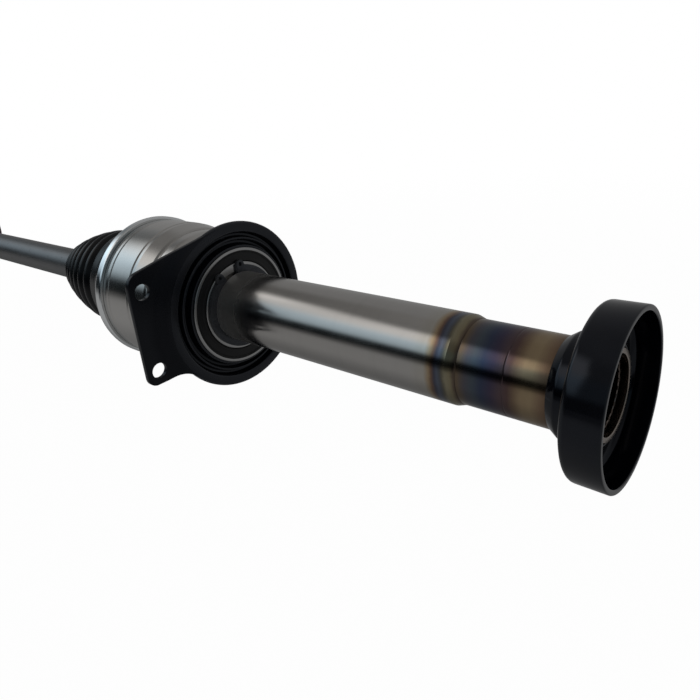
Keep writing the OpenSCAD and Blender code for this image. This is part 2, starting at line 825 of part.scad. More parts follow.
module outer_cage() {
  window = outer_ball_d + 0.1;
  color(steel)
    difference() {
      intersection() {
        difference() {
          translate([outer_x, 0, 0])
            rotate([0, 90, 0])
              sphere(r = cage_outer_r, $fn = steps);
          translate([outer_x, 0, 0])
            rotate([0, 90, 0])
              sphere(r = cage_inner_r, $fn = steps);
        }
        rod_x(outer_x - cage_half_width, outer_x + cage_half_width, 40);
      }
      round_x(6)
        translate([outer_x - window / 2, -window / 2 - 1.2, 0])
          cube([window, window + 2.4, cage_outer_r + 2]);
    }
}

module outer_bell() {
  thread_x = stub_x - stub_spline_length;
  color(steel)
    difference() {
      union() {
        turned([
          [0, stub_x - 1], [stub_shoulder_r - 1, stub_x],
          [stub_shoulder_r, stub_x + 1], [stub_shoulder_r, stub_x + 4.5],
          [stub_shoulder_r - 2, stub_x + 7], [stub_shoulder_r + 2, stub_x + 9],
          [bell_r - 8.5, stub_x + 15],
          [bell_r - 2, stub_x + 23], [bell_r, stub_x + 27],
          [bell_r, bell_mouth_x - 13], [bell_r - 1.6, bell_mouth_x - 12.4],
          [bell_r - 1.6, bell_mouth_x - 1], [bell_r - 2.4, bell_mouth_x],
          [0, bell_mouth_x]]);
        translate([thread_x, 0, 0])
          rotate([90, 0, 90])
            linear_extrude(height = stub_spline_length + 1)
              spline_shaft(stub_spline_d / 2, 1.1, stub_teeth);
        turned([
          [0, thread_x - stub_thread_length],
          [stub_thread_d / 2 - 1.4, thread_x - stub_thread_length],
          [stub_thread_d / 2, thread_x - stub_thread_length + 1.4],
          [stub_thread_d / 2, thread_x + 1], [0, thread_x + 1]]);
      }
      translate([outer_x, 0, 0])
        rotate([0, 90, 0])
          sphere(r = cage_outer_r + 0.1, $fn = steps);
      turned([
        [0, outer_x + 5], [cage_outer_r - 1.8, outer_x + 5],
        [cage_outer_r - 1.8, outer_x + 9.8], [cage_outer_r + 2.6, bell_mouth_x],
        [cage_outer_r + 2.6, bell_mouth_x + 1], [0, bell_mouth_x + 1]]);
      ball_grooves(-42, 34);
    }
}

// Round bar with straight-sided tooth spaces cut inwards.
module spline_shaft(tip_r, depth, teeth) {
  space = 3.1416 * tip_r / teeth;
  difference() {
    circle(r = tip_r, $fn = steps);
    for (i = [0 : teeth - 1])
      rotate(360 * i / teeth)
        polygon([[tip_r - depth, -space / 3], [tip_r + 1, -space / 1.8],
          [tip_r + 1, space / 1.8], [tip_r - depth, space / 3]]);
  }
}

// Outer boot with folds that grow from the bar to the bell.
module outer_boot() {
  seat = bell_r - 1.6;
  rise = (outer_fold_end_r - outer_fold_r) / outer_folds;
  bend = 1.5;
  last_r = outer_fold_end_r - outer_fold_depth + 1.5;
  last_x = bell_mouth_x + 8;
  outer = concat(
    [[bar_r + seat_gap + 3, outer_neck_x], [bar_r + seat_gap + 3, outer_fold_x + 2]],
    [for (p = fold_points(0, outer_fold_pitch, outer_fold_r, rise, outer_fold_depth,
        outer_folds, 0, bend))
      [p[0], outer_fold_x - p[1]]],
    [[last_r, last_x], [seat + 1.8, bell_mouth_x + 4],
     [seat + 2, bell_mouth_x + 1], [seat + 2, bell_mouth_x - 11]]);
  inner = concat(
    [[bar_r + seat_gap, outer_neck_x], [bar_r + seat_gap, outer_fold_x + 1]],
    [for (p = fold_points(0, outer_fold_pitch, outer_fold_r, rise, outer_fold_depth,
        outer_folds, boot_wall, bend))
      [p[0], outer_fold_x - p[1]]],
    [[last_r - boot_wall, last_x],
     [seat - 0.6, bell_mouth_x + 2.4], [seat - 0.6, bell_mouth_x + 0.3],
     [seat + seat_gap, bell_mouth_x + 0.3], [seat + seat_gap, bell_mouth_x - 11]]);
  color(rubber)
    turned(concat(outer, [for (i = [len(inner) - 1 : -1 : 0]) inner[i]]));
}

module outer_clamp_large() {
  inner = bell_r + 0.4 + seat_gap;
  color(bright)
    pipe_x(bell_mouth_x - 9, bell_mouth_x - 2, inner + 1.2, inner);
}

module outer_clamp_small() {
  color(bright)
    pipe_x(outer_neck_x - 1.5 - small_clamp_width, outer_neck_x - 1.5, bar_r + 4.2,
      bar_r + 3 + 2 * seat_gap);
}

carrier_bracket();
bearing_outer_race();
bearing_seal_front();
bearing_seal_rear();
bearing_inner_race();
bearing_balls();
bearing_cage();
bearing_snap_ring();
shaft_tube();
sleeve_neck();
splined_sleeve();
deflector_cup();
tripod_housing();
inner_boot();
inner_clamp_large();
roller_1();
roller_needles_1();
roller_ring_1();
roller_2();
roller_needles_2();
roller_ring_2();
roller_3();
roller_needles_3();
roller_ring_3();
tripod_spider();
spider_circlip();
axle_bar();
inner_clamp_small();
outer_inner_race();
inner_race_circlip();
outer_clamp_small();
outer_cage();
outer_balls();
outer_bell();
outer_boot();
outer_clamp_large();
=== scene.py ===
"""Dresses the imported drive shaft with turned, lathed and moulded surfaces.

The frame is the CAD part's: metres, X along the shaft, the origin at the
middle of the splined sleeve's mouth. Sizes below are in millimetres, except
the depth of a material's bump, its scales and the studio floor, in metres.
"""

import json
import logging
import math
from dataclasses import dataclass
from enum import Enum

import bmesh
import bpy
from mathutils import Matrix, Vector


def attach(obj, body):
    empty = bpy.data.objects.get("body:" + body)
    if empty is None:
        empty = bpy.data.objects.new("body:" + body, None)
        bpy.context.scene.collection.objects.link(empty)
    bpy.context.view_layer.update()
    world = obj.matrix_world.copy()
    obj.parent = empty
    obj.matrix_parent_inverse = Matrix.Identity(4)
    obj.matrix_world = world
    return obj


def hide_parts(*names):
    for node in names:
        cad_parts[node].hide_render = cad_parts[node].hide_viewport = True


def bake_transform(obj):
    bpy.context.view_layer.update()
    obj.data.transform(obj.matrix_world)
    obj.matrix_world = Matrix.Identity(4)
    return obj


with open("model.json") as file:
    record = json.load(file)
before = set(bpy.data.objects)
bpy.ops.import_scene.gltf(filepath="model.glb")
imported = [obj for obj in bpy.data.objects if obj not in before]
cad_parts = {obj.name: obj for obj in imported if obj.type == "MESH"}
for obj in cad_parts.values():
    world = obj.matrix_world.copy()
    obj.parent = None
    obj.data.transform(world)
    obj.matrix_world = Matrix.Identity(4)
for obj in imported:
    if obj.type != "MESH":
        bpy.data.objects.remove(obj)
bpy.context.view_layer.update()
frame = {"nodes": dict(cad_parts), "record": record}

MM = 0.001
LOG = logging.getLogger("drive_shaft")

Colour = tuple[float, float, float]
Stop = tuple[float, Colour]
Point = tuple[float, float]
Corner = tuple[float, float, float]


@dataclass(frozen=True)
class Stations:
    """Places along the shaft and main radii, as in the part's source."""

    bearing_front: float = -233.5
    bearing_back: float = -249.5
    tube_back: float = -224.5
    tube_front: float = -63.5
    neck_front: float = -40.5
    mouth: float = -329.0
    bellows_start: float = -441.5
    flare_start: float = -364.4
    outer_joint: float = -773.5
    bell_mouth: float = -759.5
    tube_r: float = 22.5
    sleeve_r: float = 20.9
    bearing_r: float = 37.5
    ring_r: float = 54.0
    collar_r: float = 43.9


AT = Stations()


class Val:
    """A node socket that takes part in Python arithmetic."""

    def __init__(self, graph: "Graph", socket: bpy.types.NodeSocket) -> None:
        """Keeps the graph that new Math nodes go into, and the socket."""
        self.graph = graph
        self.socket = socket

    def __add__(self, other: "Val | float") -> "Val":
        """Adds."""
        return self.graph.math("ADD", self, other)

    __radd__ = __add__

    def __mul__(self, other: "Val | float") -> "Val":
        """Multiplies."""
        return self.graph.math("MULTIPLY", self, other)

    __rmul__ = __mul__

    def __sub__(self, other: "Val | float") -> "Val":
        """Subtracts."""
        return self.graph.math("SUBTRACT", self, other)

    def __rsub__(self, other: float) -> "Val":
        """Subtracts this from a number."""
        return self.graph.math("SUBTRACT", other, self)

    def __truediv__(self, other: "Val | float") -> "Val":
        """Divides."""
        return self.graph.math("DIVIDE", self, other)

    def __pow__(self, other: "Val | float") -> "Val":
        """Raises to a power."""
        return self.graph.math("POWER", self, other)

    def __abs__(self) -> "Val":
        """Drops the sign."""
        return self.graph.math("ABSOLUTE", self)

    def __gt__(self, other: "Val | float") -> "Val":
        """Gives 1 where this is greater."""
        return self.graph.math("GREATER_THAN", self, other)

    def __lt__(self, other: "Val | float") -> "Val":
        """Gives 1 where this is less."""
        return self.graph.math("LESS_THAN", self, other)


class Graph:
    """A node tree and the one maker of its nodes."""

    def __init__(self, tree: bpy.types.NodeTree) -> None:
        """Empties the tree."""
        self.tree = tree
        tree.nodes.clear()

    def node(self, kind: str, settings: dict | None = None,
             inputs: dict | None = None) -> bpy.types.Node:
        """Makes one node.

        Args:
            kind: The node's type.
            settings: Properties, or the "stops" of a ramp.
            inputs: Values or links by socket name or number.

        Returns:
            The new node.
        """
        made = self.tree.nodes.new(kind)
        for key, value in (settings or {}).items():
            if key == "stops":
                self._stops(made.color_ramp, value)
            else:
                setattr(made, key, value)
        for key, value in (inputs or {}).items():
            socket = made.inputs[key]
            if isinstance(value, Val):
                self.tree.links.new(value.socket, socket)
            else:
                socket.default_value = value
        return made

    @staticmethod
    def _stops(ramp: bpy.types.ColorRamp, stops: list[Stop]) -> None:
        """Sets a ramp's colours.

        Args:
            ramp: The ramp.
            stops: Places from 0 to 1 with their colours, in rising order.
        """
        while len(ramp.elements) < len(stops):
            ramp.elements.new(1.0)
        for element, (place, colour) in zip(ramp.elements, stops):
            element.position = place
            element.color = (*colour, 1.0)

    def math(self, name: str, *values: "Val | float") -> Val:
        """Adds a Math node and gives its result."""
        made = self.node("ShaderNodeMath", {"operation": name},
                         dict(enumerate(values)))
        return Val(self, made.outputs[0])

    def clamp(self, value: Val) -> Val:
        """Keeps a value between 0 and 1."""
        return Val(self, self.node("ShaderNodeClamp", {}, {0: value}).outputs[0])

    def smooth(self, value: Val, low: float, high: float) -> Val:
        """Gives 0 below low, 1 above high and a smooth step between."""
        made = self.node("ShaderNodeMapRange", {"interpolation_type": "SMOOTHSTEP"},
                         {0: value, 1: low, 2: high, 3: 0.0, 4: 1.0})
        return Val(self, made.outputs[0])

    def mix(self, first: "Val | Colour", second: "Val | Colour",
            factor: "Val | float", blend: str = "MIX") -> Val:
        """Mixes two colours.

        Args:
            first: The colour at factor 0.
            second: The colour at factor 1.
            factor: The second colour's share.
            blend: The way they mix.

        Returns:
            The mixed colour.
        """
        pad = [v if isinstance(v, Val) else (*v, 1.0) for v in (first, second)]
        made = self.node("ShaderNodeMix", {"data_type": "RGBA", "blend_type": blend},
                         {0: factor, 6: pad[0], 7: pad[1]})
        return Val(self, made.outputs[2])

    def ramp(self, value: Val, stops: list[Stop]) -> Val:
        """Reads a colour from a ramp."""
        made = self.node("ShaderNodeValToRGB", {"stops": stops}, {0: value})
        return Val(self, made.outputs[0])

    def place(self) -> Val:
        """Gives the Object coordinates, in metres."""
        return Val(self, self.node("ShaderNodeTexCoord").outputs["Object"])

    def parts(self, vector: Val) -> tuple[Val, ...]:
        """Splits a vector."""
        made = self.node("ShaderNodeSeparateXYZ", {}, {0: vector})
        return tuple(Val(self, s) for s in made.outputs)

    def scaled(self, vector: Val, x: float, y: float, z: float) -> Val:
        """Scales a vector along each axis."""
        made = self.node("ShaderNodeVectorMath", {"operation": "MULTIPLY"},
                         {0: vector, 1: (x, y, z)})
        return Val(self, made.outputs[0])

    def noise(self, vector: Val, scale: float, detail: float = 3.0,
              rough: float = 0.5) -> Val:
        """Gives a noise's factor, about 0.5 on average."""
        made = self.node("ShaderNodeTexNoise", {},
                         {"Vector": vector, "Scale": scale, "Detail": detail,
                          "Roughness": rough})
        return Val(self, made.outputs[0])

    def bump(self, height: Val, distance: float, strength: float = 1.0) -> Val:
        """Turns a height into a normal; the distance is in metres."""
        made = self.node("ShaderNodeBump", {},
                         {"Strength": strength, "Distance": distance,
                          "Height": height})
        return Val(self, made.outputs[0])

    def rays(self) -> tuple[Val, Val]:
        """Tells the camera's rays apart.

        Returns:
            1 for a camera ray, and 1 for one that metal or glass sends on.
        """
        path = self.node("ShaderNodeLightPath")
        eye, glossy, through = (Val(self, path.outputs[label]) for label in (
            "Is Camera Ray", "Is Glossy Ray", "Is Transmission Ray"))
        return eye, self.math("MAXIMUM", glossy, through)

    def surface(self, **sockets: "Val | float | tuple") -> None:
        """Adds the Principled shader and the output.

        Args:
            **sockets: Values or links by socket name, with _ for a space.
        """
        inputs = {key.replace("_", " "): value for key, value in sockets.items()}
        base = inputs.get("Base Color")
        if base is not None and not isinstance(base, Val):
            inputs["Base Color"] = (*base, 1.0)
        shader = self.node("ShaderNodeBsdfPrincipled", {}, inputs)
        self.node("ShaderNodeOutputMaterial", {},
                  {"Surface": Val(self, shader.outputs[0])})


def new_material(name: str) -> tuple[bpy.types.Material, Graph]:
    """Makes an empty material.

    Args:
        name: The material's name.

    Returns:
        The material and its graph.
    """
    made = bpy.data.materials.new(name)
    made.use_nodes = True
    return made, Graph(made.node_tree)


@dataclass(frozen=True)
class Turned:
    """Steel turned on a lathe: fine rings round the shaft, streaks and smudges."""

    name: str
    colour: Colour
    roughness: float = 0.3
    ring_depth: float = 0.000002
    ring_grain: tuple[float, float, float] = (1500.0, 20.0, 20.0)
    streak_grain: tuple[float, float, float] = (260.0, 26.0, 26.0)
    streak: float = 0.12
    smudge: float = 0.10
    stain: float = 0.0

    def base(self, g: Graph, place: Val) -> Val:
        """Gives the steel's own colour."""
        return g.mix((0.0, 0.0, 0.0), self.colour, 1.0)

    def scuffed(self, g: Graph, place: Val) -> "Val | float":
        """Gives the share of scuffing, from 0 to 1."""
        return 0.0

    def build(self) -> bpy.types.Material:
        """Builds the material.

        Returns:
            The finished material.
        """
        made, g = new_material(self.name)
        place = g.place()
        rings = g.noise(g.scaled(place, *self.ring_grain), 1.0, 4.0, 0.7)
        streaks = g.noise(g.scaled(place, *self.streak_grain), 1.0, 3.0, 0.6)
        smudges = g.noise(place, 38.0, 4.0, 0.6)
        spots = g.smooth(g.noise(place, 150.0, 5.0, 0.7), 0.60, 0.72)
        shade = ((streaks - 0.5) * self.streak + (smudges - 0.5) * self.smudge
                 + 1.0) * (1.0 - spots * self.stain)
        rough = (rings - 0.5) * 0.08 + (smudges - 0.5) * 0.12 + self.roughness
        grey = g.mix((0, 0, 0), (1, 1, 1), shade)
        scuff = self.scuffed(g, place)
        g.surface(Base_Color=g.mix(self.base(g, place), grey, 1.0, "MULTIPLY"),
                  Metallic=1.0 - scuff * 0.25,
                  Roughness=rough + spots * (self.stain * 0.3) + scuff * 0.22,
                  Normal=g.bump(rings, self.ring_depth))
        return made


@dataclass(frozen=True)
class HeatTinted(Turned):
    """Turned steel coloured in bands along the shaft: welding heat's tints, and a painted
    reflection where the stops give one.
    """

    tint_and_glint: tuple[Stop, ...] = ()
    wobble: float = 3.0
    scuff_end: float = -200.0

    def scuffed(self, g: Graph, place: Val) -> Val:
        """Scuffs the length that the bearing was pressed over."""
        x, _, _ = g.parts(place)
        return 1.0 - g.smooth(x * 1000.0, AT.bearing_front, self.scuff_end)

    def base(self, g: Graph, place: Val) -> Val:
        """Gives the bands' colours.

        Args:
            g: The material's graph.
            place: The Object coordinates, in metres.

        Returns:
            The colour along the shaft, with wavering borders.
        """
        low, high = self.tint_and_glint[0][0], self.tint_and_glint[-1][0]
        x, _, _ = g.parts(place)
        near = g.noise(g.scaled(place, 0.6, 1.0, 1.0), 48.0, 3.0, 0.55)
        fine = g.noise(place, 160.0, 3.0, 0.6)
        shift = (near - 0.5) * self.wobble + (fine - 0.5) * 1.6
        along = (x * 1000.0 + shift - low) / (high - low)
        stops = [((p - low) / (high - low), c) for p, c in self.tint_and_glint]
        return g.ramp(along, stops)


@dataclass(frozen=True)
class Coated:
    """Painted or phosphated steel: dark film, faint orange peel, and lighter edges that are
    partly rubbed wear and, on the bracket's ring, a painted highlight.
    """

    name: str
    colour: Colour
    roughness: float = 0.42
    wear_and_highlight: Colour = (0.09, 0.09, 0.095)
    peel: float = 0.00002
    gloss: float = 0.35
    sheen: Colour = (0.82, 0.88, 1.0)
    rub_and_highlight: tuple[float, float] = (0.506, 0.535)

    def build(self) -> bpy.types.Material:
        """Builds the material.

        Returns:
            The finished material.
        """
        made, g = new_material(self.name)
        place = g.place()
        cloud = g.noise(place, 45.0, 4.0, 0.6)
        grain = g.noise(place, 1400.0, 2.0)
        geometry = g.node("ShaderNodeNewGeometry")
        # Convex edges take a lighter colour: rubbed wear, and along the bracket ring's ridges a
        # painted highlight.
        edge = g.smooth(Val(g, geometry.outputs["Pointiness"]), *self.rub_and_highlight)
        film = g.mix(self.colour, tuple(c * 1.6 + 0.002 for c in self.colour),
                     g.clamp((cloud - 0.35) * 1.6))
        g.surface(Base_Color=g.mix(film, self.wear_and_highlight, g.clamp(edge * cloud * 1.2)),
                  Roughness=((cloud - 0.5) * 0.6 + (grain - 0.5) * 0.3 + 1.0)
                  * self.roughness,
                  Specular_IOR_Level=self.gloss, Specular_Tint=(*self.sheen, 1.0),
                  Normal=g.bump(grain, self.peel))
        return made


@dataclass(frozen=True)
class Rubber:
    """Moulded rubber: near black, satin, with a bloom of dust in places."""

    name: str
    colour: Colour
    roughness: float = 0.42
    gloss: float = 0.35

    def build(self) -> bpy.types.Material:
        """Builds the material.

        Returns:
            The finished material.
        """
        made, g = new_material(self.name)
        place = g.place()
        bloom = g.noise(place, 60.0, 5.0, 0.65)
        grain = g.noise(place, 2200.0, 2.0)
        dust = tuple(c * 2.0 + 0.006 for c in self.colour)
        g.surface(Base_Color=g.mix(self.colour, dust, g.clamp((bloom - 0.45) * 2.0)),
                  Roughness=(bloom - 0.5) * 0.3 + self.roughness,
                  Specular_IOR_Level=self.gloss,
                  Normal=g.bump(grain, 0.00002))
        return made


class Finish(Enum):
    """The finishes of the drive shaft's surfaces."""

    TINTED = "tinted"
    HOUSING = "housing"
    BAR = "bar"
    RACE = "race"
    CLAMP = "clamp"
    FORGED = "forged"
    BALL = "ball"
    CAGE = "cage"
    BRACKET = "bracket"
    EAR = "ear"
    CLIP = "clip"
    CUP = "cup"
    BOOT = "boot"
    SEAL = "seal"


STEEL: Colour = (0.46, 0.445, 0.428)

# Weld heat tints along the shaft, in millimetres. The lighter straw stops at -67.6 and -65.6, on
# the tube's end chamfer, are a painted reflection, and the dark stop at -64.0 darkens the weld
# step.
HEAT_TINT_AND_GLINT_BANDS: tuple[Stop, ...] = (
    (-88.0, STEEL), (-79.5, (0.45, 0.43, 0.39)), (-76.8, (0.38, 0.29, 0.19)),
    (-75.0, (0.19, 0.12, 0.085)), (-73.4, (0.075, 0.075, 0.10)),
    (-71.8, (0.11, 0.125, 0.165)), (-70.2, (0.10, 0.105, 0.115)),
    (-69.2, (0.14, 0.13, 0.10)), (-67.6, (0.27, 0.245, 0.17)),
    (-65.6, (0.25, 0.215, 0.14)), (-64.0, (0.12, 0.09, 0.07)),
    (-62.4, (0.16, 0.12, 0.082)), (-58.6, (0.10, 0.095, 0.11)),
    (-55.0, (0.08, 0.098, 0.12)), (-50.5, (0.05, 0.062, 0.105)),
    (-46.0, (0.065, 0.056, 0.092)), (-42.0, (0.10, 0.073, 0.085)),
    (-38.0, (0.114, 0.073, 0.069)), (-35.0, (0.20, 0.14, 0.095)),
    (-31.5, (0.32, 0.24, 0.15)), (-27.5, (0.33, 0.25, 0.155)),
    (-23.5, (0.24, 0.165, 0.11)), (-19.5, (0.13, 0.083, 0.055)),
    (-13.0, (0.10, 0.075, 0.06)), (-6.0, (0.17, 0.14, 0.13)),
    (0.0, (0.34, 0.29, 0.25)))

RECIPES = {
    Finish.TINTED: HeatTinted("heat_tinted_steel", STEEL, 0.18, tint_and_glint=HEAT_TINT_AND_GLINT_BANDS),
    Finish.HOUSING: Turned("housing_turned", (0.52, 0.507, 0.49), 0.18, smudge=0.16),
    Finish.BAR: Turned("bar_satin", (0.19, 0.19, 0.195), 0.42, streak=0.05, smudge=0.3,
                       stain=0.3),
    Finish.RACE: Turned("race_ground", (0.40, 0.40, 0.40), 0.24, streak=0.06,
                        smudge=0.05),
    Finish.CLAMP: Turned("clamp_bright", (0.84, 0.86, 0.87), 0.14, streak=0.05,
                         smudge=0.05),
    Finish.FORGED: Turned("forged_steel", (0.33, 0.32, 0.31), 0.42, smudge=0.35,
                          stain=0.25),
    Finish.BALL: Turned("ball_polished", (0.70, 0.70, 0.71), 0.10, ring_depth=0.000001,
                        streak=0.02, smudge=0.03),
    Finish.CAGE: Turned("cage_pressed", (0.42, 0.38, 0.30), 0.38),
    # The bracket's lighter edge colour is partly a painted highlight along its ring's ridges.
    Finish.BRACKET: Coated("bracket_coating", (0.0030, 0.0031, 0.0050), 0.25,
                           wear_and_highlight=(0.06, 0.06, 0.068), gloss=0.4),
    Finish.EAR: Coated("ear_coating", (0.0026, 0.0027, 0.0046), 0.28,
                       wear_and_highlight=(0.004, 0.004, 0.006), gloss=0.3),
    Finish.CLIP: Coated("clip_phosphate", (0.006, 0.006, 0.008), 0.26, gloss=0.45),
    Finish.CUP: Coated("cup_gloss", (0.0010, 0.0013, 0.0032), 0.10,
                       wear_and_highlight=(0.03, 0.03, 0.035), peel=0.000003, gloss=0.32,
                       sheen=(0.80, 0.86, 1.0)),
    Finish.BOOT: Rubber("boot_rubber", (0.0022, 0.0028, 0.0042), 0.27, gloss=0.30),
    Finish.SEAL: Rubber("seal_rubber", (0.006, 0.006, 0.007), 0.45),
}

NODE_FINISH = {
    "carrier_bracket": Finish.BRACKET, "bearing_outer_race": Finish.RACE,
    "bearing_inner_race": Finish.RACE, "bearing_seal_front": Finish.SEAL,
    "bearing_seal_rear": Finish.SEAL, "bearing_balls": Finish.BALL,
    "bearing_cage": Finish.CAGE, "bearing_snap_ring": Finish.CLIP,
    "shaft_tube": Finish.TINTED, "sleeve_neck": Finish.TINTED,
    "splined_sleeve": Finish.TINTED, "deflector_cup": Finish.CUP,
    "tripod_housing": Finish.HOUSING, "inner_boot": Finish.BOOT,
    "inner_clamp_large": Finish.CLAMP, "inner_clamp_small": Finish.CLAMP,
    "tripod_spider": Finish.FORGED, "spider_circlip": Finish.CLIP,
    "axle_bar": Finish.BAR, "outer_inner_race": Finish.FORGED,
    "inner_race_circlip": Finish.CLIP, "outer_clamp_small": Finish.CLAMP,
    "outer_cage": Finish.FORGED, "outer_balls": Finish.BALL,
    "outer_bell": Finish.FORGED, "outer_boot": Finish.BOOT,
    "outer_clamp_large": Finish.CLAMP,
}
for _roller in "123":
    NODE_FINISH[f"roller_{_roller}"] = Finish.RACE
    NODE_FINISH[f"roller_ring_{_roller}"] = Finish.RACE
    NODE_FINISH[f"roller_needles_{_roller}"] = Finish.BALL

SLOT_OF = {m["node"]: m["material_slot"] for m in frame["record"]["subparts"]}


class Paintshop:
    """Builds each finish once and puts it on pieces and CAD nodes."""

    def __init__(self) -> None:
        """Starts with no finish built."""
        self.built: dict[Finish, bpy.types.Material] = {}

    def material(self, finish: Finish) -> bpy.types.Material:
        """Gives a finish's material, building it the first time.

        Args:
            finish: The finish.

        Returns:
            Its material.
        """
        if finish not in self.built:
            self.built[finish] = RECIPES[finish].build()
        return self.built[finish]

    def dress(self, obj: bpy.types.Object, finish: Finish) -> None:
        """Gives an object one finish all over.

        Args:
            obj: The object.
            finish: Its finish.
        """
        if not obj.material_slots:
            obj.data.materials.append(self.material(finish))
        for slot in obj.material_slots:
            slot.material = self.material(finish)

    def dress_nodes(self) -> None:
        """Gives every CAD node its finish."""
        for node, obj in frame["nodes"].items():
            self.dress(obj, NODE_FINISH[node])
            LOG.info("node %s: %s", node, NODE_FINISH[node].value)


SHOP = Paintshop()


def link(name: str, mesh: bpy.types.Mesh, sharp: float = 35.0) -> bpy.types.Object:
    """Makes a shown object of a mesh, smooth except over sharp edges.

    Args:
        name: The piece's name.
        mesh: Its mesh, in metres and in place.
        sharp: Angle in degrees past which an edge stays sharp.

    Returns:
        The new object.
    """
    mesh.shade_smooth()
    mesh.set_sharp_from_angle(angle=math.radians(sharp))
    made = bpy.data.objects.new(name, mesh)
    bpy.context.scene.collection.objects.link(made)
    return made


def closed_mesh(name: str, shape: bmesh.types.BMesh) -> bpy.types.Mesh:
    """Merges a shape's doubles, turns its faces outwards and makes its mesh.

    Args:
        name: The mesh's name.
        shape: The shape, which is freed.

    Returns:
        The mesh.
    """
    bmesh.ops.remove_doubles(shape, verts=shape.verts, dist=0.000004)
    bmesh.ops.dissolve_degenerate(shape, edges=shape.edges, dist=0.0000005)
    bmesh.ops.recalc_face_normals(shape, faces=shape.faces)
    mesh = bpy.data.meshes.new(name)
    shape.to_mesh(mesh)
    shape.free()
    return mesh


def seat(piece: bpy.types.Object, body: str, finish: Finish, *nodes: str,
         slot: str = "") -> bpy.types.Object:
    """Dresses a piece, seats it on its body and hides the nodes it stands for.

    Args:
        piece: The finished object.
        body: The body it rides on; empty for none.
        finish: Its finish.
        *nodes: CAD nodes that it replaces.
        slot: Not used.

    Returns:
        The same object.
    """
    SHOP.dress(piece, finish)
    if body:
        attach(piece, body)
    if nodes:
        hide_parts(*nodes)
    LOG.info("%s: %d faces, %s", piece.name, len(piece.data.polygons), finish.value)
    return piece


def rounded(corners: list[Corner], steps: int = 5) -> list[Point]:
    """Rounds the corners of a closed outline.

    Args:
        corners: The corners, each with the radius that rounds it.
        steps: Straight pieces in each arc.

    Returns:
        The outline's points.
    """
    line: list[Point] = []
    for i, (first, second, fillet) in enumerate(corners):
        here = Vector((first, second))
        back = Vector(corners[i - 1][:2]) - here
        ahead = Vector(corners[(i + 1) % len(corners)][:2]) - here
        if fillet <= 0.0:
            line.append((first, second))
            continue
        half = back.angle(ahead) / 2.0
        reach = min(fillet / math.tan(half), 0.45 * back.length, 0.45 * ahead.length)
        back.normalize()
        ahead.normalize()
        radius = reach * math.tan(half)
        middle = here + (back + ahead).normalized() * (radius / math.sin(half))
        start = here + back * reach - middle
        end = here + ahead * reach - middle
        angle = math.atan2(start.y, start.x)
        sweep = (math.atan2(end.y, end.x) - angle + math.pi) % (2 * math.pi) - math.pi
        for k in range(steps + 1):
            a = angle + sweep * k / steps
            line.append((middle.x + radius * math.cos(a), middle.y + radius * math.sin(a)))
    return line


def bend(centre: Point, radius: float, start: float, end: float,
         steps: int = 12) -> list[Corner]:
    """Gives an arc's points as corners that stay sharp.

    Args:
        centre: The arc's centre.
        radius: Its radius.
        start: Its first angle in degrees.
        end: Its last angle in degrees.
        steps: Straight pieces in it.

    Returns:
        The corners.
    """
    return [(centre[0] + radius * math.cos(math.radians(start + (end - start) * k / steps)),
             centre[1] + radius * math.sin(math.radians(start + (end - start) * k / steps)),
             0.0) for k in range(steps + 1)]


def smooth_line(points: list[Point], steps: int = 6) -> list[Point]:
    """Runs a smooth line through points.

    Args:
        points: The points, first to last.
        steps: Straight pieces between each two.

    Returns:
        The line's points.
    """
    line: list[Point] = []
    ends = [points[0], *points, points[-1]]
    for a, b, c, d in zip(ends, ends[1:], ends[2:], ends[3:]):
        for k in range(steps):
            t = k / steps
            line.append(tuple(
                0.5 * (2 * q + (r - p) * t + (2 * p - 5 * q + 4 * r - s) * t * t
                       + (3 * q - p - 3 * r + s) * t ** 3)
                for p, q, r, s in zip(a, b, c, d)))
    return [*line, points[-1]]


def lathe(name: str, line: list[Point], closed: bool = True,
          segments: int = 192) -> bpy.types.Object:
    """Turns an outline about the shaft's axis.

    Args:
        name: The piece's name.
        line: Points of radius and distance along the shaft, in millimetres.
        closed: Whether the last point joins the first; if not, both are poles.
        segments: Faces round the axis.

    Returns:
        The turned piece.
    """
    shape = bmesh.new()
    turns = [2 * math.pi * k / segments for k in range(segments)]
    rings = []
    for radius, x in line:
        angles = turns if radius > 1e-6 else turns[:1]
        rings.append([shape.verts.new((x * MM, radius * MM * math.cos(a),
                                       radius * MM * math.sin(a))) for a in angles])
    pairs = list(zip(rings, rings[1:])) + ([(rings[-1], rings[0])] if closed else [])
    for first, second in pairs:
        for k in range(segments):
            around = [first[k % len(first)], first[(k + 1) % len(first)],
                      second[(k + 1) % len(second)], second[k % len(second)]]
            corners = list(dict.fromkeys(around))
            if len(corners) > 2:
                shape.faces.new(corners)
    return link(name, closed_mesh(name, shape))


def turned(name: str, corners: list[Corner], segments: int = 192) -> bpy.types.Object:
    """Turns a closed outline of rounded corners."""
    return lathe(name, rounded(corners), True, segments)


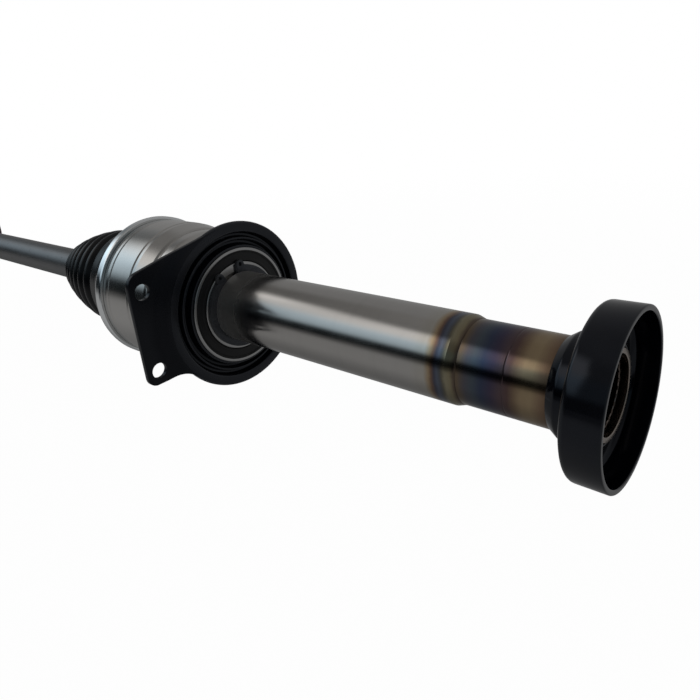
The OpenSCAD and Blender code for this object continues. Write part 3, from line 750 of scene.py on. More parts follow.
def plate(name: str, outlines: list[list[Point]], back: float, front: float,
          bevel: float = 0.3) -> bpy.types.Object:
    """Makes a flat piece across the shaft, with softened edges.

    Args:
        name: The piece's name.
        outlines: The outer outline, then its holes, as (y, z) in millimetres.
        back: The back face's place along the shaft.
        front: The front face's place along the shaft.
        bevel: How far the edges are softened.

    Returns:
        The plate.
    """
    data = bpy.data.curves.new(name, "CURVE")
    data.dimensions = "2D"
    data.fill_mode = "BOTH"
    data.extrude = ((front - back) / 2 - bevel) * MM
    data.bevel_depth = bevel * MM
    data.bevel_resolution = 2
    data.offset = -bevel * MM
    for number, line in enumerate(outlines):
        area = sum(a[0] * b[1] - b[0] * a[1] for a, b in zip(line, line[1:] + line[:1]))
        if (area < 0) != (number > 0):
            line = line[::-1]
        spline = data.splines.new("POLY")
        spline.points.add(len(line) - 1)
        for point, (y, z) in zip(spline.points, line):
            point.co = (y * MM, z * MM, 0.0, 1.0)
        spline.use_cyclic_u = True
    maker = bpy.data.objects.new(name + "_outline", data)
    bpy.context.scene.collection.objects.link(maker)
    cut = maker.evaluated_get(bpy.context.evaluated_depsgraph_get())
    flat = bpy.data.meshes.new_from_object(cut)
    flat.transform(Matrix(((0, 0, 1, (front + back) / 2 * MM), (1, 0, 0, 0),
                           (0, 1, 0, 0), (0, 0, 0, 1))))
    shape = bmesh.new()
    shape.from_mesh(flat)
    bpy.data.objects.remove(maker)
    bpy.data.meshes.remove(flat)
    return link(name, closed_mesh(name, shape))


def circle(centre: Point, radius: float, steps: int = 40) -> list[Point]:
    """Gives the points of a circle."""
    return [p[:2] for p in bend(centre, radius, 0.0, 360.0 - 360.0 / steps, steps - 1)]


class Rule:
    """A Geometry Nodes tree with named sizes, and the maker of meshes from it."""

    def __init__(self, name: str, sizes: dict[str, float | int]) -> None:
        """Makes the tree and its inputs.

        Args:
            name: The tree's name.
            sizes: Each input's name and its value; whole numbers stay whole.
        """
        self.tree = bpy.data.node_groups.new(name, "GeometryNodeTree")
        self.sizes = sizes
        face = self.tree.interface
        for label, value in sizes.items():
            kind = "NodeSocketInt" if isinstance(value, int) else "NodeSocketFloat"
            face.new_socket(label, in_out="INPUT", socket_type=kind)
        face.new_socket("Geometry", in_out="OUTPUT", socket_type="NodeSocketGeometry")
        self.g = Graph(self.tree)
        group = self.g.node("NodeGroupInput")
        self.size = {label: Val(self.g, group.outputs[label]) for label in sizes}

    def place(self, x: Val | float, y: Val | float, z: Val | float) -> Val:
        """Joins three numbers into a place."""
        made = self.g.node("ShaderNodeCombineXYZ", {}, {0: x, 1: y, 2: z})
        return Val(self.g, made.outputs[0])

    def grow(self, geometry: Val, finish: Finish, sharp: float = 35.0) -> bpy.types.Object:
        """Ends the tree, runs it once and gives its mesh as a plain piece.

        Args:
            geometry: The shape that the tree makes.
            finish: The material it sets.
            sharp: Angle in degrees past which an edge stays sharp.

        Returns:
            The grown piece, with no modifier left.
        """
        real = self.g.node("GeometryNodeRealizeInstances", {}, {0: geometry})
        done = self.g.node("GeometryNodeSetMaterial", {},
                           {0: Val(self.g, real.outputs[0]),
                            "Material": SHOP.material(finish)})
        self.g.node("NodeGroupOutput", {}, {0: Val(self.g, done.outputs[0])})
        name = self.tree.name
        seedling = bpy.data.objects.new(name + "_rule", bpy.data.meshes.new(name))
        bpy.context.scene.collection.objects.link(seedling)
        modifier = seedling.modifiers.new("rule", "NODES")
        modifier.node_group = self.tree
        for item in self.tree.interface.items_tree:
            if item.name in self.sizes:
                modifier[item.identifier] = self.sizes[item.name]
        ready = seedling.evaluated_get(bpy.context.evaluated_depsgraph_get())
        raw = bpy.data.meshes.new_from_object(ready)
        shape = bmesh.new()
        shape.from_mesh(raw)
        bpy.data.objects.remove(seedling)
        mesh = closed_mesh(name, shape)
        mesh.materials.append(SHOP.material(finish))
        return link(name, mesh, sharp)


@dataclass(frozen=True)
class Bellows:
    """Folded rubber sleeve whose folds follow a rule; a closed skin with a wall."""

    name: str
    start: float
    length: float
    neck_r: float
    first_r: float
    last_r: float
    bend: float
    pitch: float
    depth: float
    count: int
    fold_start: float
    tail_r: float
    wall: float = 2.4
    lip: float = 0.9
    fullness: float = 0.78
    rows: int = 134
    around: int = 144

    def build(self) -> bpy.types.Object:
        """Grows the boot from a grid wrapped round the shaft.

        Returns:
            The boot.
        """
        rule = Rule(self.name, {
            "Start": self.start, "Length": self.length, "Neck radius": self.neck_r,
            "First fold radius": self.first_r, "Last fold radius": self.last_r,
            "Bend": self.bend, "Fold pitch": self.pitch, "Fold depth": self.depth,
            "Folds": float(self.count), "Fold start": self.fold_start,
            "Collar radius": self.tail_r, "Wall": self.wall, "Lip": self.lip})
        g, size = rule.g, rule.size
        grid = g.node("GeometryNodeMeshGrid", {},
                      {"Size X": float(self.around), "Size Y": float(2 * self.rows),
                       "Vertices X": self.around + 1, "Vertices Y": 2 * self.rows + 1})
        at = Val(g, g.node("GeometryNodeInputPosition").outputs[0])
        column, row, _ = g.parts(at)
        turn = (column + self.around / 2) * (2 * math.pi / self.around)
        row = row + float(self.rows)
        outside = row < self.rows - 0.5
        inside = (1.0 - outside) * (row < 2 * self.rows - 0.5)
        share = (outside * row + inside * (2.0 * self.rows - 1.0 - row)) / (self.rows - 1.0)
        run = share * abs(size["Length"])
        x = size["Start"] + share * size["Length"]
        fold = (run - size["Fold start"]) / size["Fold pitch"]
        along = g.clamp(fold / size["Folds"])
        rise = 1.0 - (1.0 - along) ** size["Bend"]
        base = size["First fold radius"] + (
            size["Last fold radius"] - size["First fold radius"]) * rise
        ripple = abs(g.math("SINE", fold * math.pi)) ** self.fullness
        in_folds = (fold > 0.0) * (fold < size["Folds"])
        folded = base - size["Fold depth"] * (1.0 - ripple * in_folds)
        neck = g.smooth(fold, -0.12, 0.0)
        radius = size["Neck radius"] * (1.0 - neck) + folded * neck
        tail = g.smooth(fold - size["Folds"], 0.0, 0.34)
        radius = radius * (1.0 - tail) + size["Collar radius"] * tail
        radius = radius + size["Lip"] * (1.0 - g.smooth(run, 0.5, 1.1))
        radius = radius - size["Wall"] * inside
        spot = rule.place(x * MM, radius * g.math("COSINE", turn) * MM,
                          radius * g.math("SINE", turn) * MM)
        shaped = g.node("GeometryNodeSetPosition", {},
                        {0: Val(g, grid.outputs[0]), "Position": spot})
        merged = g.node("GeometryNodeMergeByDistance", {},
                        {0: Val(g, shaped.outputs[0]), "Distance": 0.000004})
        return rule.grow(Val(g, merged.outputs[0]), Finish.BOOT, 75.0)


@dataclass
class CarrierBracket:
    """Pressed bracket: bearing collar, channelled ring and the ear with two holes."""

    plate_front: float = -237.5
    flange_front: float = -235.3
    lift_r: tuple[float, float] = (52.0, 66.0)
    cuts: tuple[tuple[int, float, float], ...] = ((1, -75.0, 5.0), (2, -55.0, 60.0))
    thickness: float = 3.2
    back_lip_r: float = 34.5
    front_lip_r: float = 39.0
    web_depth: float = 8.0
    channel_depth: float = 5.0
    hem_depth: float = 3.6
    ridge_depth: float = 2.9
    top_z: float = 39.6
    bolt_y: float = -64.8
    bolt_z: tuple[float, float] = (29.4, -19.8)
    hole_r: float = 4.7
    corner_r: float = 8.2
    waist_r: float = 16.0

    def build(self) -> None:
        """Builds the ring and the ear."""
        front, back, flange = AT.bearing_front, AT.bearing_back, self.flange_front
        rim, collar, bore = AT.ring_r, AT.collar_r, AT.bearing_r + 0.02
        back_lip, front_lip = self.back_lip_r, self.front_lip_r
        web, channel = flange - self.web_depth, flange - self.channel_depth
        hem, ridge = flange - self.hem_depth, front - self.ridge_depth
        ring = turned("bracket_ring", [
            (back_lip, back - 3.0, 0.6), (collar, back - 3.0, 1.6), (collar, web, 1.8),
            (rim - 6.0, web, 1.2), (rim - 3.0, hem, 1.2), (rim, hem, 1.2),
            (rim, flange, 1.9), (rim - 6.7, flange, 1.3), (rim - 7.3, channel, 1.2),
            (collar + 0.2, channel, 1.0), (collar, ridge, 0.6), (collar - 1.3, ridge, 0.5),
            (collar - 2.0, front - 6.8, 0.9), (front_lip + 0.6, front - 6.4, 0.9),
            (front_lip, front - 0.8, 0.5), (bore + 0.08, front - 0.8, 0.2),
            (bore, back - 0.02, 0.0), (back_lip, back - 0.02, 0.3)], 256)
        seat(ring, "carrier", Finish.BRACKET, "carrier_bracket")
        ear = plate("bracket_ear", [self.outline(), *self.holes()],
                    self.plate_front - self.thickness, self.plate_front, 0.35)
        self.lift(ear)
        seat(ear, "carrier", Finish.EAR, slot=SLOT_OF["carrier_bracket"])

    def lift(self, ear: bpy.types.Object, step: float = 2.5) -> None:
        """Cuts the ear into a fine grid and draws it up to the ring's flange.

        Args:
            ear: The flat ear.
            step: The grid's spacing, in millimetres.
        """
        shape = bmesh.new()
        shape.from_mesh(ear.data)
        for axis, first, last in self.cuts:
            for number in range(int((last - first) / step) + 1):
                spot, across = Vector(), Vector()
                spot[axis] = (first + number * step) * MM
                across[axis] = 1.0
                bmesh.ops.bisect_plane(
                    shape, geom=[*shape.verts, *shape.edges, *shape.faces],
                    plane_co=spot, plane_no=across, dist=0.000001)
        near, far = self.lift_r
        rise = (self.flange_front - 0.03 - self.plate_front) * MM
        for vert in shape.verts:
            reach = math.hypot(vert.co.y, vert.co.z) / MM
            t = min(1.0, max(0.0, (far - reach) / (far - near)))
            vert.co.x += rise * t * t * (3.0 - 2.0 * t)
        shape.to_mesh(ear.data)
        shape.free()

    def outline(self) -> list[Point]:
        """Draws the ear: tangent above, hollowed below, open to the ring.

        Returns:
            The outline's points.
        """
        edge = self.bolt_y - self.corner_r
        low = self.bolt_z[1] - self.corner_r - 0.3
        waist_z = low - self.waist_r + 0.4
        waist_y = -math.sqrt((AT.ring_r - 0.4 + self.waist_r) ** 2 - waist_z ** 2)
        toward = math.degrees(math.atan2(-waist_z, -waist_y))
        hollow = bend((waist_y, waist_z), self.waist_r, 90.0, toward, 10)
        rim = bend((0.0, 0.0), AT.ring_r - 3.3, 180.0 + toward, 102.0, 40)
        upper = AT.ring_r * 0.985
        return rounded([
            (upper * math.cos(math.radians(100.0)), upper * math.sin(math.radians(100.0)),
             0.0),
            (edge, self.top_z, 9.0), (edge, low + 0.1, self.corner_r), (waist_y - 6.0, low, 5.0),
            *hollow, *rim], 10)

    def holes(self) -> list[list[Point]]:
        """Gives both bolt holes."""
        return [circle((self.bolt_y, z), self.hole_r) for z in self.bolt_z]


@dataclass
class CentreBearing:
    """Sealed ball bearing and the open snap ring that holds it."""

    pitch_r: float = 30.3
    groove_r: float = 4.4
    gap_angle: float = 105.0
    half_gap: float = 18.5
    lug_at: float = 27.2
    lug_r: float = 3.1
    lug_hole_r: float = 1.2
    land_r: float = 32.7
    inner_r: float = 28.5
    seal_seat_r: float = 35.7
    snap_r: float = 26.7
    snap_bore_r: float = 21.3
    snap_opening: float = 12.0
    snap_steps: int = 240

    def build(self) -> None:
        """Builds the races, both seals and the snap ring."""
        front, back = AT.bearing_front, AT.bearing_back
        middle = (front + back) / 2
        outer = bend((self.pitch_r, middle), self.groove_r, 57.0, -57.0)
        land, seal_seat = self.land_r, self.seal_seat_r
        piece = turned("outer_race", [
            (land, back + 2.2, 0), (seal_seat, back + 2.2, 0), (seal_seat, back, 0.2),
            (AT.bearing_r, back, 0.45), (AT.bearing_r, front, 0.45),
            (seal_seat, front, 0.2), (seal_seat, front - 2.2, 0), (land, front - 2.2, 0),
            *outer])
        seat(piece, "carrier", Finish.RACE, "bearing_outer_race")
        inner = bend((self.pitch_r, middle), self.groove_r, 245.8, 114.2)
        piece = turned("inner_race", [
            (AT.tube_r, front, 0.6), (self.inner_r, front, 0.5), *reversed(inner),
            (self.inner_r, back, 0.5), (AT.tube_r, back, 0.6)])
        seat(piece, "link_shaft", Finish.RACE, "bearing_inner_race")
        bore, edge = self.inner_r + 0.05, seal_seat - 0.02
        for node, face, way in (("bearing_seal_front", front, 1.0),
                                ("bearing_seal_rear", back, -1.0)):
            piece = turned(node + "_lipped", [
                (bore, face - 1.5 * way, 0), (edge, face - 1.5 * way, 0),
                (edge, face - 0.3 * way, 0.2), (34.9, face - 0.3 * way, 0.2),
                (34.4, face - 0.75 * way, 0.15), (33.9, face - 0.5 * way, 0.2),
                (30.9, face - 0.5 * way, 0.2), (30.5, face - 0.3 * way, 0.15),
                (29.3, face - 0.25 * way, 0.2), (bore, face - 0.8 * way, 0.1)])
            seat(piece, "carrier", Finish.SEAL, node)
        self.snap_ring()

    def snap_ring(self) -> None:
        """Builds the open ring with a drilled lug each side of its gap."""
        start = self.gap_angle + self.snap_opening
        end = self.gap_angle + 360.0 - self.snap_opening
        lugs = (self.gap_angle + self.half_gap, self.gap_angle + 360.0 - self.half_gap)
        line = []
        for k in range(self.snap_steps + 1):
            angle = start + (end - start) * k / self.snap_steps
            reach = self.snap_r
            for lug in lugs:
                aside = self.lug_at * math.sin(math.radians(angle - lug))
                if abs(aside) < self.lug_r and abs(angle - lug) < 20.0:
                    reach = max(reach, self.lug_at * math.cos(math.radians(angle - lug))
                                + math.sqrt(self.lug_r ** 2 - aside ** 2))
            line.append((angle, reach))
        line += [(angle, self.snap_bore_r) for angle, _ in reversed(line)]
        outline = [(r * math.cos(math.radians(a)), r * math.sin(math.radians(a)))
                   for a, r in line]
        drilled = self.lug_at + 0.4
        holes = [circle((drilled * math.cos(math.radians(a)),
                         drilled * math.sin(math.radians(a))), self.lug_hole_r, 20)
                 for a in lugs]
        ring = plate("snap_ring", [outline, *holes], AT.bearing_front + 0.03,
                     AT.bearing_front + 1.88, 0.15)
        seat(ring, "link_shaft", Finish.CLIP, "bearing_snap_ring")


@dataclass
class WeldedShaft:
    """Tube, neck and splined sleeve, welded end to end and coloured by the heat."""

    bore_r: float = 17.0
    weld: float = 0.14
    teeth: int = 30
    root_r: float = 17.1
    tip_r: float = 15.8
    tooth_width: float = 1.9
    spline_length: float = 28.0
    pilot_length: float = 4.0
    pilot_r: float = 17.5
    relief_r: float = 17.3
    neck_bore_r: float = 13.0
    web_x: float = -57.5
    plug_r: float = 11.0

    def build(self) -> None:
        """Builds the three lengths and the sleeve's teeth."""
        r, tube = AT.sleeve_r, AT.tube_r - 0.1
        piece = turned("tube_length", [
            (self.bore_r, AT.tube_back, 0.3), (AT.tube_r - 0.15, AT.tube_back, 0.0),
            (AT.tube_r - 0.15, AT.bearing_front + 1.95, 0.0),
            (AT.tube_r, AT.bearing_front + 1.95, 0.0), (AT.tube_r, AT.tube_back + 2.0, 0.0),
            (tube, AT.tube_back + 12.0, 0.0), (tube, AT.tube_front - 4.4, 1.6),
            (r + 0.1, AT.tube_front - 0.3, 0.4), (r - self.weld, AT.tube_front, 0.1),
            (self.bore_r, AT.tube_front, 0.3)], 256)
        seat(piece, "link_shaft", Finish.TINTED, "shaft_tube")
        neck = rounded([
            (0.0, AT.tube_front + 1.5, 0.0), (self.plug_r, AT.tube_front + 1.5, 0.4),
            (self.plug_r, AT.tube_front, 0.2), (r - self.weld, AT.tube_front, 0.1),
            (r, AT.tube_front + 0.4, 0.25), (r, AT.neck_front - 0.45, 0.25),
            (r - self.weld, AT.neck_front, 0.1), (self.neck_bore_r, AT.neck_front, 0.3),
            (self.neck_bore_r, self.web_x, 1.2), (0.0, self.web_x, 0.0)])
        piece = lathe("neck_length", neck, False, 256)
        seat(piece, "link_shaft", Finish.TINTED, "sleeve_neck")
        end = -self.pilot_length - self.spline_length
        piece = turned("sleeve_length", [
            (self.relief_r, AT.neck_front, 0.2), (r - self.weld, AT.neck_front, 0.1),
            (r, AT.neck_front + 0.45, 0.25), (r, -1.0, 0.5), (r - 0.9, 0.0, 0.3),
            (self.pilot_r, 0.0, 0.3), (self.pilot_r, -self.pilot_length, 0.1),
            (self.root_r, -self.pilot_length - 0.3, 0.1), (self.root_r, end, 0.1),
            (self.relief_r, end - 0.3, 0.1)], 256)
        seat(piece, "link_shaft", Finish.TINTED, "splined_sleeve")
        self.spline(end)

    def spline(self, end: float) -> None:
        """Grows the ring of teeth inside the sleeve.

        Args:
            end: Where the teeth end inside the sleeve.
        """
        rule = Rule("sleeve_teeth", {
            "Teeth": self.teeth, "Root radius": self.root_r, "Tip radius": self.tip_r,
            "Length": self.spline_length, "End": end, "Width": self.tooth_width})
        g, size = rule.g, rule.size
        depth = size["Root radius"] - size["Tip radius"] + 0.2
        tooth = g.node("GeometryNodeMeshCube", {}, {
            "Size": rule.place(size["Length"] * MM, size["Width"] * MM, depth * MM)})
        at = Val(g, g.node("GeometryNodeInputPosition").outputs[0])
        x, y, z = g.parts(at)
        slim = 1.0 - (z < 0.0) * 0.34
        lift = (size["Root radius"] + 0.1 - depth / 2.0) * MM
        middle = (size["End"] + size["Length"] / 2.0) * MM
        shaped = g.node("GeometryNodeSetPosition", {}, {
            0: Val(g, tooth.outputs[0]),
            "Position": rule.place(x + middle, y * slim, z + lift)})
        marks = g.node("GeometryNodePoints", {}, {"Count": size["Teeth"]})
        index = Val(g, g.node("GeometryNodeInputIndex").outputs[0])
        turn = rule.place(index / size["Teeth"] * (2 * math.pi), 0.0, 0.0)
        spread = g.node("GeometryNodeInstanceOnPoints", {}, {
            0: Val(g, marks.outputs[0]), "Instance": Val(g, shaped.outputs[0]),
            "Rotation": turn})
        teeth = rule.grow(Val(g, spread.outputs[0]), Finish.TINTED)
        seat(teeth, "link_shaft", Finish.TINTED, slot=SLOT_OF["splined_sleeve"])


@dataclass
class DeflectorCup:
    """Spun cup pressed on the sleeve's mouth, with a rolled rim."""

    rim_r: float = 39.2
    back_r: float = 39.1
    neck_r: float = 24.2
    rim_x: float = 7.6
    back_x: float = -9.2
    floor_x: float = -5.8
    hub_x: float = -1.6
    tail_x: float = -21.0

    def build(self) -> None:
        """Builds the cup."""
        r = AT.sleeve_r + 0.02
        cup = turned("spun_cup", [
            (r, self.tail_x, 0.0), (r + 0.38, self.tail_x, 0.2),
            (self.neck_r, self.tail_x + 4.2, 2.2), (self.neck_r, self.back_x, 2.4),
            (self.back_r - 0.1, self.back_x, 2.8), (self.rim_r, self.rim_x, 0.7),
            (self.rim_r - 2.6, self.rim_x, 0.5), (self.back_r - 2.7, self.floor_x, 3.6),
            (self.neck_r - 0.5, self.floor_x, 1.0), (self.neck_r - 1.0, self.hub_x, 0.8),
            (self.neck_r - 2.0, self.hub_x, 0.4), (r, self.hub_x - 1.2, 0.0)], 256)
        seat(cup, "link_shaft", Finish.CUP, "deflector_cup")


@dataclass
class Clamp:
    """Pinched band clamp: a rolled band and its crimped ear."""

    name: str
    node: str
    body: str
    inner_r: float
    thickness: float
    start: float
    width: float
    ear_angle: float
    ear_height: float = 3.0
    crown: float = 0.0
    finish: Finish = Finish.CLAMP

    def build(self) -> None:
        """Builds the band and the ear crimped on it, as two pieces."""
        r, x, end = self.inner_r, self.start, self.start + self.width
        outer = r + self.thickness
        edge = min(0.45, self.thickness * 0.45)
        band = turned(self.name, [
            (r, x, 0.1), (outer - self.crown, x, edge), (outer, x + self.width * 0.22, 0.6),
            (outer, end - self.width * 0.22, 0.6), (outer - self.crown, end, edge),
            (r, end, 0.1)])
        seat(band, self.body, self.finish, self.node)
        top = outer + self.ear_height
        corners = [(-2.4, outer - 0.4, 0.3), (-3.1, outer + self.ear_height * 0.45, 0.8),
                   (-2.6, top, 1.1), (2.6, top, 1.1),
                   (3.1, outer + self.ear_height * 0.45, 0.8), (2.4, outer - 0.4, 0.3)]
        turn = math.radians(self.ear_angle)
        line = [(b * math.cos(turn) - a * math.sin(turn),
                 b * math.sin(turn) + a * math.cos(turn)) for a, b in rounded(corners)]
        ear = plate(self.name + "_ear", [line], x + self.width * 0.12,
                    end - self.width * 0.12, 0.25)
        seat(ear, self.body, self.finish, slot=SLOT_OF[self.node])


@dataclass
class InnerBoot:
    """The tripod joint's boot: bellows on the bar, a saddle and a flare."""

    flare_wall: float = 1.88
    tilt_start: float = -400.0
    tilt_end: float = -349.0

    def build(self) -> None:
        """Builds all three lengths."""
        start, flare, mouth = AT.bellows_start, AT.flare_start, AT.mouth
        folds = Bellows(
            "boot_folds", start - 0.04, flare - start + 0.04, neck_r=15.62, first_r=21.4,
            last_r=37.8, bend=1.7, pitch=11.6, depth=4.4, count=6, fold_start=7.54,
            tail_r=36.0).build()
        seat(folds, "", Finish.BOOT, "inner_boot")
        outer = smooth_line([
            (33.4, flare), (36.0, flare + 1.8), (37.9, flare + 4.6), (38.8, flare + 9.9),
            (39.6, self.tilt_end), (41.6, mouth - 13.4), (44.4, mouth - 7.4),
            (47.5, mouth - 3.2), (48.35, mouth - 1.0)])
        outer.append((48.35, mouth + 8.1))
        saddle = self.sleeve("boot_saddle", [p for p in outer if p[1] <= self.tilt_end])
        skirt = self.sleeve("boot_flare", [p for p in outer if p[1] >= self.tilt_end])
        for piece in (folds, saddle):
            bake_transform(piece)
        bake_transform(skirt)

    def sleeve(self, name: str, outer: list[Point]) -> bpy.types.Object:
        """Turns one length of the smooth part with an even wall.

        Args:
            name: The piece's name.
            outer: The outer line, from the bar to the housing.

        Returns:
            The seated piece.
        """
        inner = [(r - self.flare_wall, x) for r, x in outer]
        piece = lathe(name, outer + inner[::-1], True, 144)
        return seat(piece, "", Finish.BOOT, slot=SLOT_OF["inner_boot"])


@dataclass
class OuterBoot:
    """The ball joint's boot: five folds that grow towards the bell."""

    collar_at: float = 92.68
    bend_at: float = 68.5
    length: float = 90.52

    def build(self) -> None:
        """Builds the boot across the outer joint."""
        boot = Bellows(
            "outer_bellows", AT.outer_joint + self.collar_at, -self.length, neck_r=16.0,
            first_r=21.52, last_r=47.5, bend=1.5, pitch=12.4, depth=6.0, count=5,
            fold_start=8.68, tail_r=48.85, wall=2.0, rows=147).build()
        seat(boot, "", Finish.BOOT, "outer_boot")
        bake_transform(boot)


@dataclass
class StubThread:
    """The screw thread rolled on the end of the stub axle."""

    radius: float = 12.0
    pitch: float = 1.5
    length: float = 17.5
    start: float = -885.6
    ridge: float = 0.62
    sunk: float = 0.28

    def build(self) -> None:
        """Grows the thread's ridge along a helix."""
        rule = Rule("stub_thread", {
            "Radius": self.radius, "Pitch": self.pitch, "Length": self.length,
            "Start": self.start, "Ridge": self.ridge})
        g, size = rule.g, rule.size
        around = (size["Radius"] - self.sunk) * MM
        helix = g.node("GeometryNodeCurveSpiral", {}, {
            "Resolution": 48, "Rotations": size["Length"] / size["Pitch"],
            "Start Radius": around, "End Radius": around, "Height": size["Length"] * MM})
        section = g.node("GeometryNodeCurvePrimitiveCircle", {},
                         {"Resolution": 3, "Radius": size["Ridge"] * MM})
        ridge = g.node("GeometryNodeCurveToMesh", {}, {
            "Curve": Val(g, helix.outputs[0]), "Profile Curve": Val(g, section.outputs[0]),
            "Fill Caps": True})
        laid = g.node("GeometryNodeTransform", {}, {
            "Geometry": Val(g, ridge.outputs[0]),
            "Translation": rule.place(size["Start"] * MM, 0.0, 0.0),
            "Rotation": (0.0, math.pi / 2, 0.0)})
        thread = rule.grow(Val(g, laid.outputs[0]), Finish.FORGED, 30.0)
        seat(thread, "bell", Finish.FORGED, slot=SLOT_OF["outer_bell"])


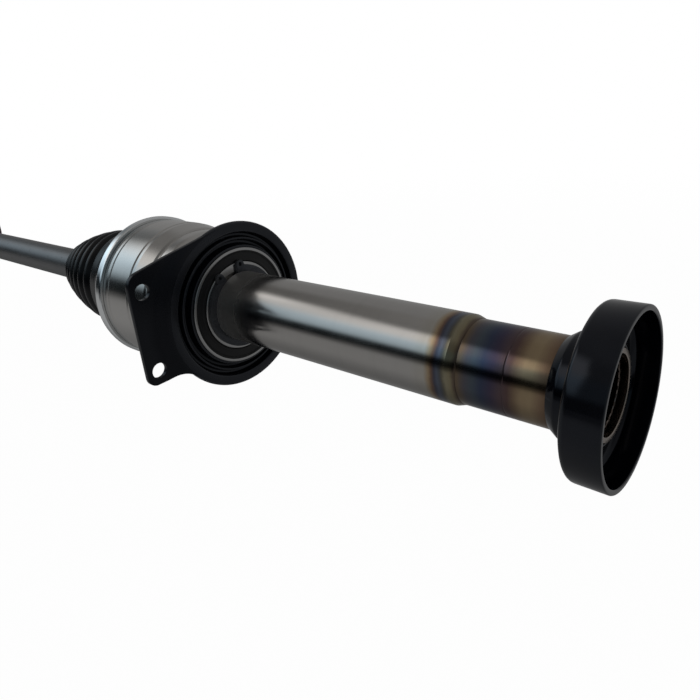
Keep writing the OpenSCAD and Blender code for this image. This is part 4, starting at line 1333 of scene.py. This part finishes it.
@dataclass
class Studio:
    """Plain pale floor, soft surroundings and the photograph's camera."""

    azimuth: float = 40.341
    elevation: float = 14.032
    place: tuple[float, float, float] = (68.029, -248.634, 97.443)
    focal_px: float = 611.4
    centre_px: tuple[float, float] = (348.935, 302.97)
    frame_px: float = 700.0
    lean: float = -8.3
    floor_height: float = -0.16
    floor_half: float = 12.0
    sensor_mm: float = 36.0

    def build(self) -> None:
        """Builds the camera, the world and the floor."""
        self.camera()
        self.world()
        self.floor()

    def camera(self) -> None:
        """Places the camera that was fitted to the photograph."""
        az, el = math.radians(self.azimuth), math.radians(self.elevation)
        back = Vector((math.sin(az) * math.cos(el), -math.cos(az) * math.cos(el),
                       math.sin(el)))
        right = Vector((math.cos(az), math.sin(az), 0.0))
        up = back.cross(right)
        turn = Matrix.Rotation(math.radians(self.lean), 4, "X")
        stand = Matrix((right, up, back)).transposed().to_4x4()
        stand.translation = Vector(self.place) * MM
        data = bpy.data.cameras.new("camera")
        data.sensor_width = self.sensor_mm
        data.lens = self.sensor_mm * self.focal_px / self.frame_px
        data.shift_x = (self.frame_px / 2 - self.centre_px[0]) / self.frame_px
        data.shift_y = (self.centre_px[1] - self.frame_px / 2) / self.frame_px
        data.clip_start = 0.01
        camera = bpy.data.objects.new("camera", data)
        camera.matrix_world = turn @ stand
        bpy.context.scene.collection.objects.link(camera)
        bpy.context.scene.camera = camera

    def world(self) -> None:
        """Soft room: a broad window on the left, a dark horizon, a pale backdrop.

        Directions are in degrees, in a frame that leans as the camera does: turn
        goes from the stub's end of the shaft towards the camera, and rise goes up.
        """
        world = bpy.data.worlds.new("studio")
        bpy.context.scene.world = world
        bpy.context.scene.view_settings.view_transform = "Standard"
        world.use_nodes = True
        g = Graph(world.node_tree)
        toward = Val(g, g.node("ShaderNodeTexCoord").outputs["Generated"])
        x, y, z = g.parts(toward)
        lean = math.radians(-self.lean)
        side = y * math.cos(lean) - z * math.sin(lean)
        height = y * math.sin(lean) + z * math.cos(lean)
        turn = g.math("ARCTAN2", side * -1.0, x * -1.0) * math.degrees(1.0)
        rise = g.math("ARCSINE", height) * math.degrees(1.0)
        top = rise - g.math("MINIMUM", turn, 45.0) * 0.25
        far = turn + g.math("MAXIMUM", rise - 35.0, 0.0) * 0.5
        window = (g.smooth(rise, 4.0, 15.0) * (1.0 - g.smooth(top, 31.0, 44.0))
                  * g.smooth(turn, -5.0, 18.0) * (1.0 - g.smooth(far, 63.0, 68.5)))
        horizon = (g.smooth(rise, -20.0, -8.0) * (1.0 - g.smooth(rise, 3.0, 12.0))
                   * g.smooth(turn, -70.0, -20.0) * (1.0 - g.smooth(turn, 110.0, 150.0)))
        bright = (g.smooth(rise, 10.0, 36.0) * 0.42 + 0.58) * (
            1.42 - g.smooth(turn, 20.0, 31.0) * 0.62 + g.smooth(turn, 38.0, 46.0) * 0.18)
        base = g.smooth(rise, 42.0, 62.0) * 0.10 + 0.16
        level = (1.0 - horizon * 0.93) * base + window * bright * 0.88
        cool = g.mix((0.80, 0.98, 1.10), (1.0, 0.985, 0.965), g.smooth(rise, 22.0, 37.0))
        eye, mirror = g.rays()
        backdrop = g.smooth(side, 0.05, 0.35) * mirror * (1.0 - eye)
        strength = (level * (1.0 - eye) + eye) * (1.0 - backdrop) + backdrop * 0.28
        colour = g.mix(cool, (1.0, 1.0, 1.0), g.math("MAXIMUM", eye, backdrop))
        back = g.node("ShaderNodeBackground", {}, {0: colour, 1: strength})
        g.node("ShaderNodeOutputWorld", {}, {0: Val(g, back.outputs[0])})

    def floor(self) -> None:
        """A wide pale floor that stays white to the eye; that hides its shadow. In reflections
        it glows, with painted shade under the part and far out on the camera's side.
        """
        size = self.floor_half
        mesh = bpy.data.meshes.new("floor")
        corners = [(-size, -size), (size, -size), (size, size), (-size, size)]
        mesh.from_pydata([(a, b, self.floor_height) for a, b in corners], [],
                         [(0, 1, 2, 3)])
        floor = bpy.data.objects.new("floor", mesh)
        bpy.context.scene.collection.objects.link(floor)
        made, g = new_material("floor_pale")
        eye, mirror = g.rays()
        x, y, _ = g.parts(g.place())
        away = g.math("SQRT", (x + 0.3) * (x + 0.3) + y * y)
        near = 1.0 - g.smooth(away, 0.5, 1.6)
        share = eye * (1.0 - near * 0.015) + mirror * (1.0 - eye) * 0.9
        # Painted shade in the floor's glow seen in reflections: darker right under the part, and
        # darker far out on the camera's side.
        painted_floor_shade = ((1.0 - g.smooth(y * -1.0, 0.5, 1.7) * 0.75)
                * (g.smooth(abs(y), 0.0, 0.2) * 0.45 + 0.55))
        glow = g.node("ShaderNodeEmission", {}, {
            0: (1.0, 1.0, 1.0, 1.0), 1: eye + mirror * (1.0 - eye) * painted_floor_shade * 0.31})
        matt = g.node("ShaderNodeBsdfDiffuse", {}, {0: (0.74, 0.74, 0.73, 1.0)})
        mixed = g.node("ShaderNodeMixShader", {}, {
            0: share, 1: Val(g, matt.outputs[0]), 2: Val(g, glow.outputs[0])})
        g.node("ShaderNodeOutputMaterial", {}, {0: Val(g, mixed.outputs[0])})
        mesh.materials.append(made)


def main() -> None:
    """Builds every piece in order, then the studio."""
    logging.basicConfig(level=logging.INFO, format="%(message)s")
    SHOP.dress_nodes()
    for part in (
            CarrierBracket(), CentreBearing(), WeldedShaft(), DeflectorCup(),
            InnerBoot(), OuterBoot(), StubThread(),
            Clamp("large_band", "inner_clamp_large", "link_shaft", inner_r=48.42,
                  thickness=2.6, start=AT.mouth + 1.2, width=7.0, ear_angle=40.0,
                  crown=0.35),
            Clamp("small_band", "inner_clamp_small", "axle", inner_r=15.64,
                  thickness=1.56, start=AT.bellows_start + 1.2, width=4.0,
                  ear_angle=60.0, finish=Finish.CLIP),
            Clamp("outer_small_band", "outer_clamp_small", "axle", inner_r=16.04,
                  thickness=1.16, start=AT.outer_joint + 87.5, width=4.0, ear_angle=60.0),
            Clamp("outer_large_band", "outer_clamp_large", "bell", inner_r=48.92,
                  thickness=1.2, start=AT.bell_mouth - 9.0, width=7.0, ear_angle=50.0),
            Studio()):
        part.build()


if __name__ == "__main__":
    main()
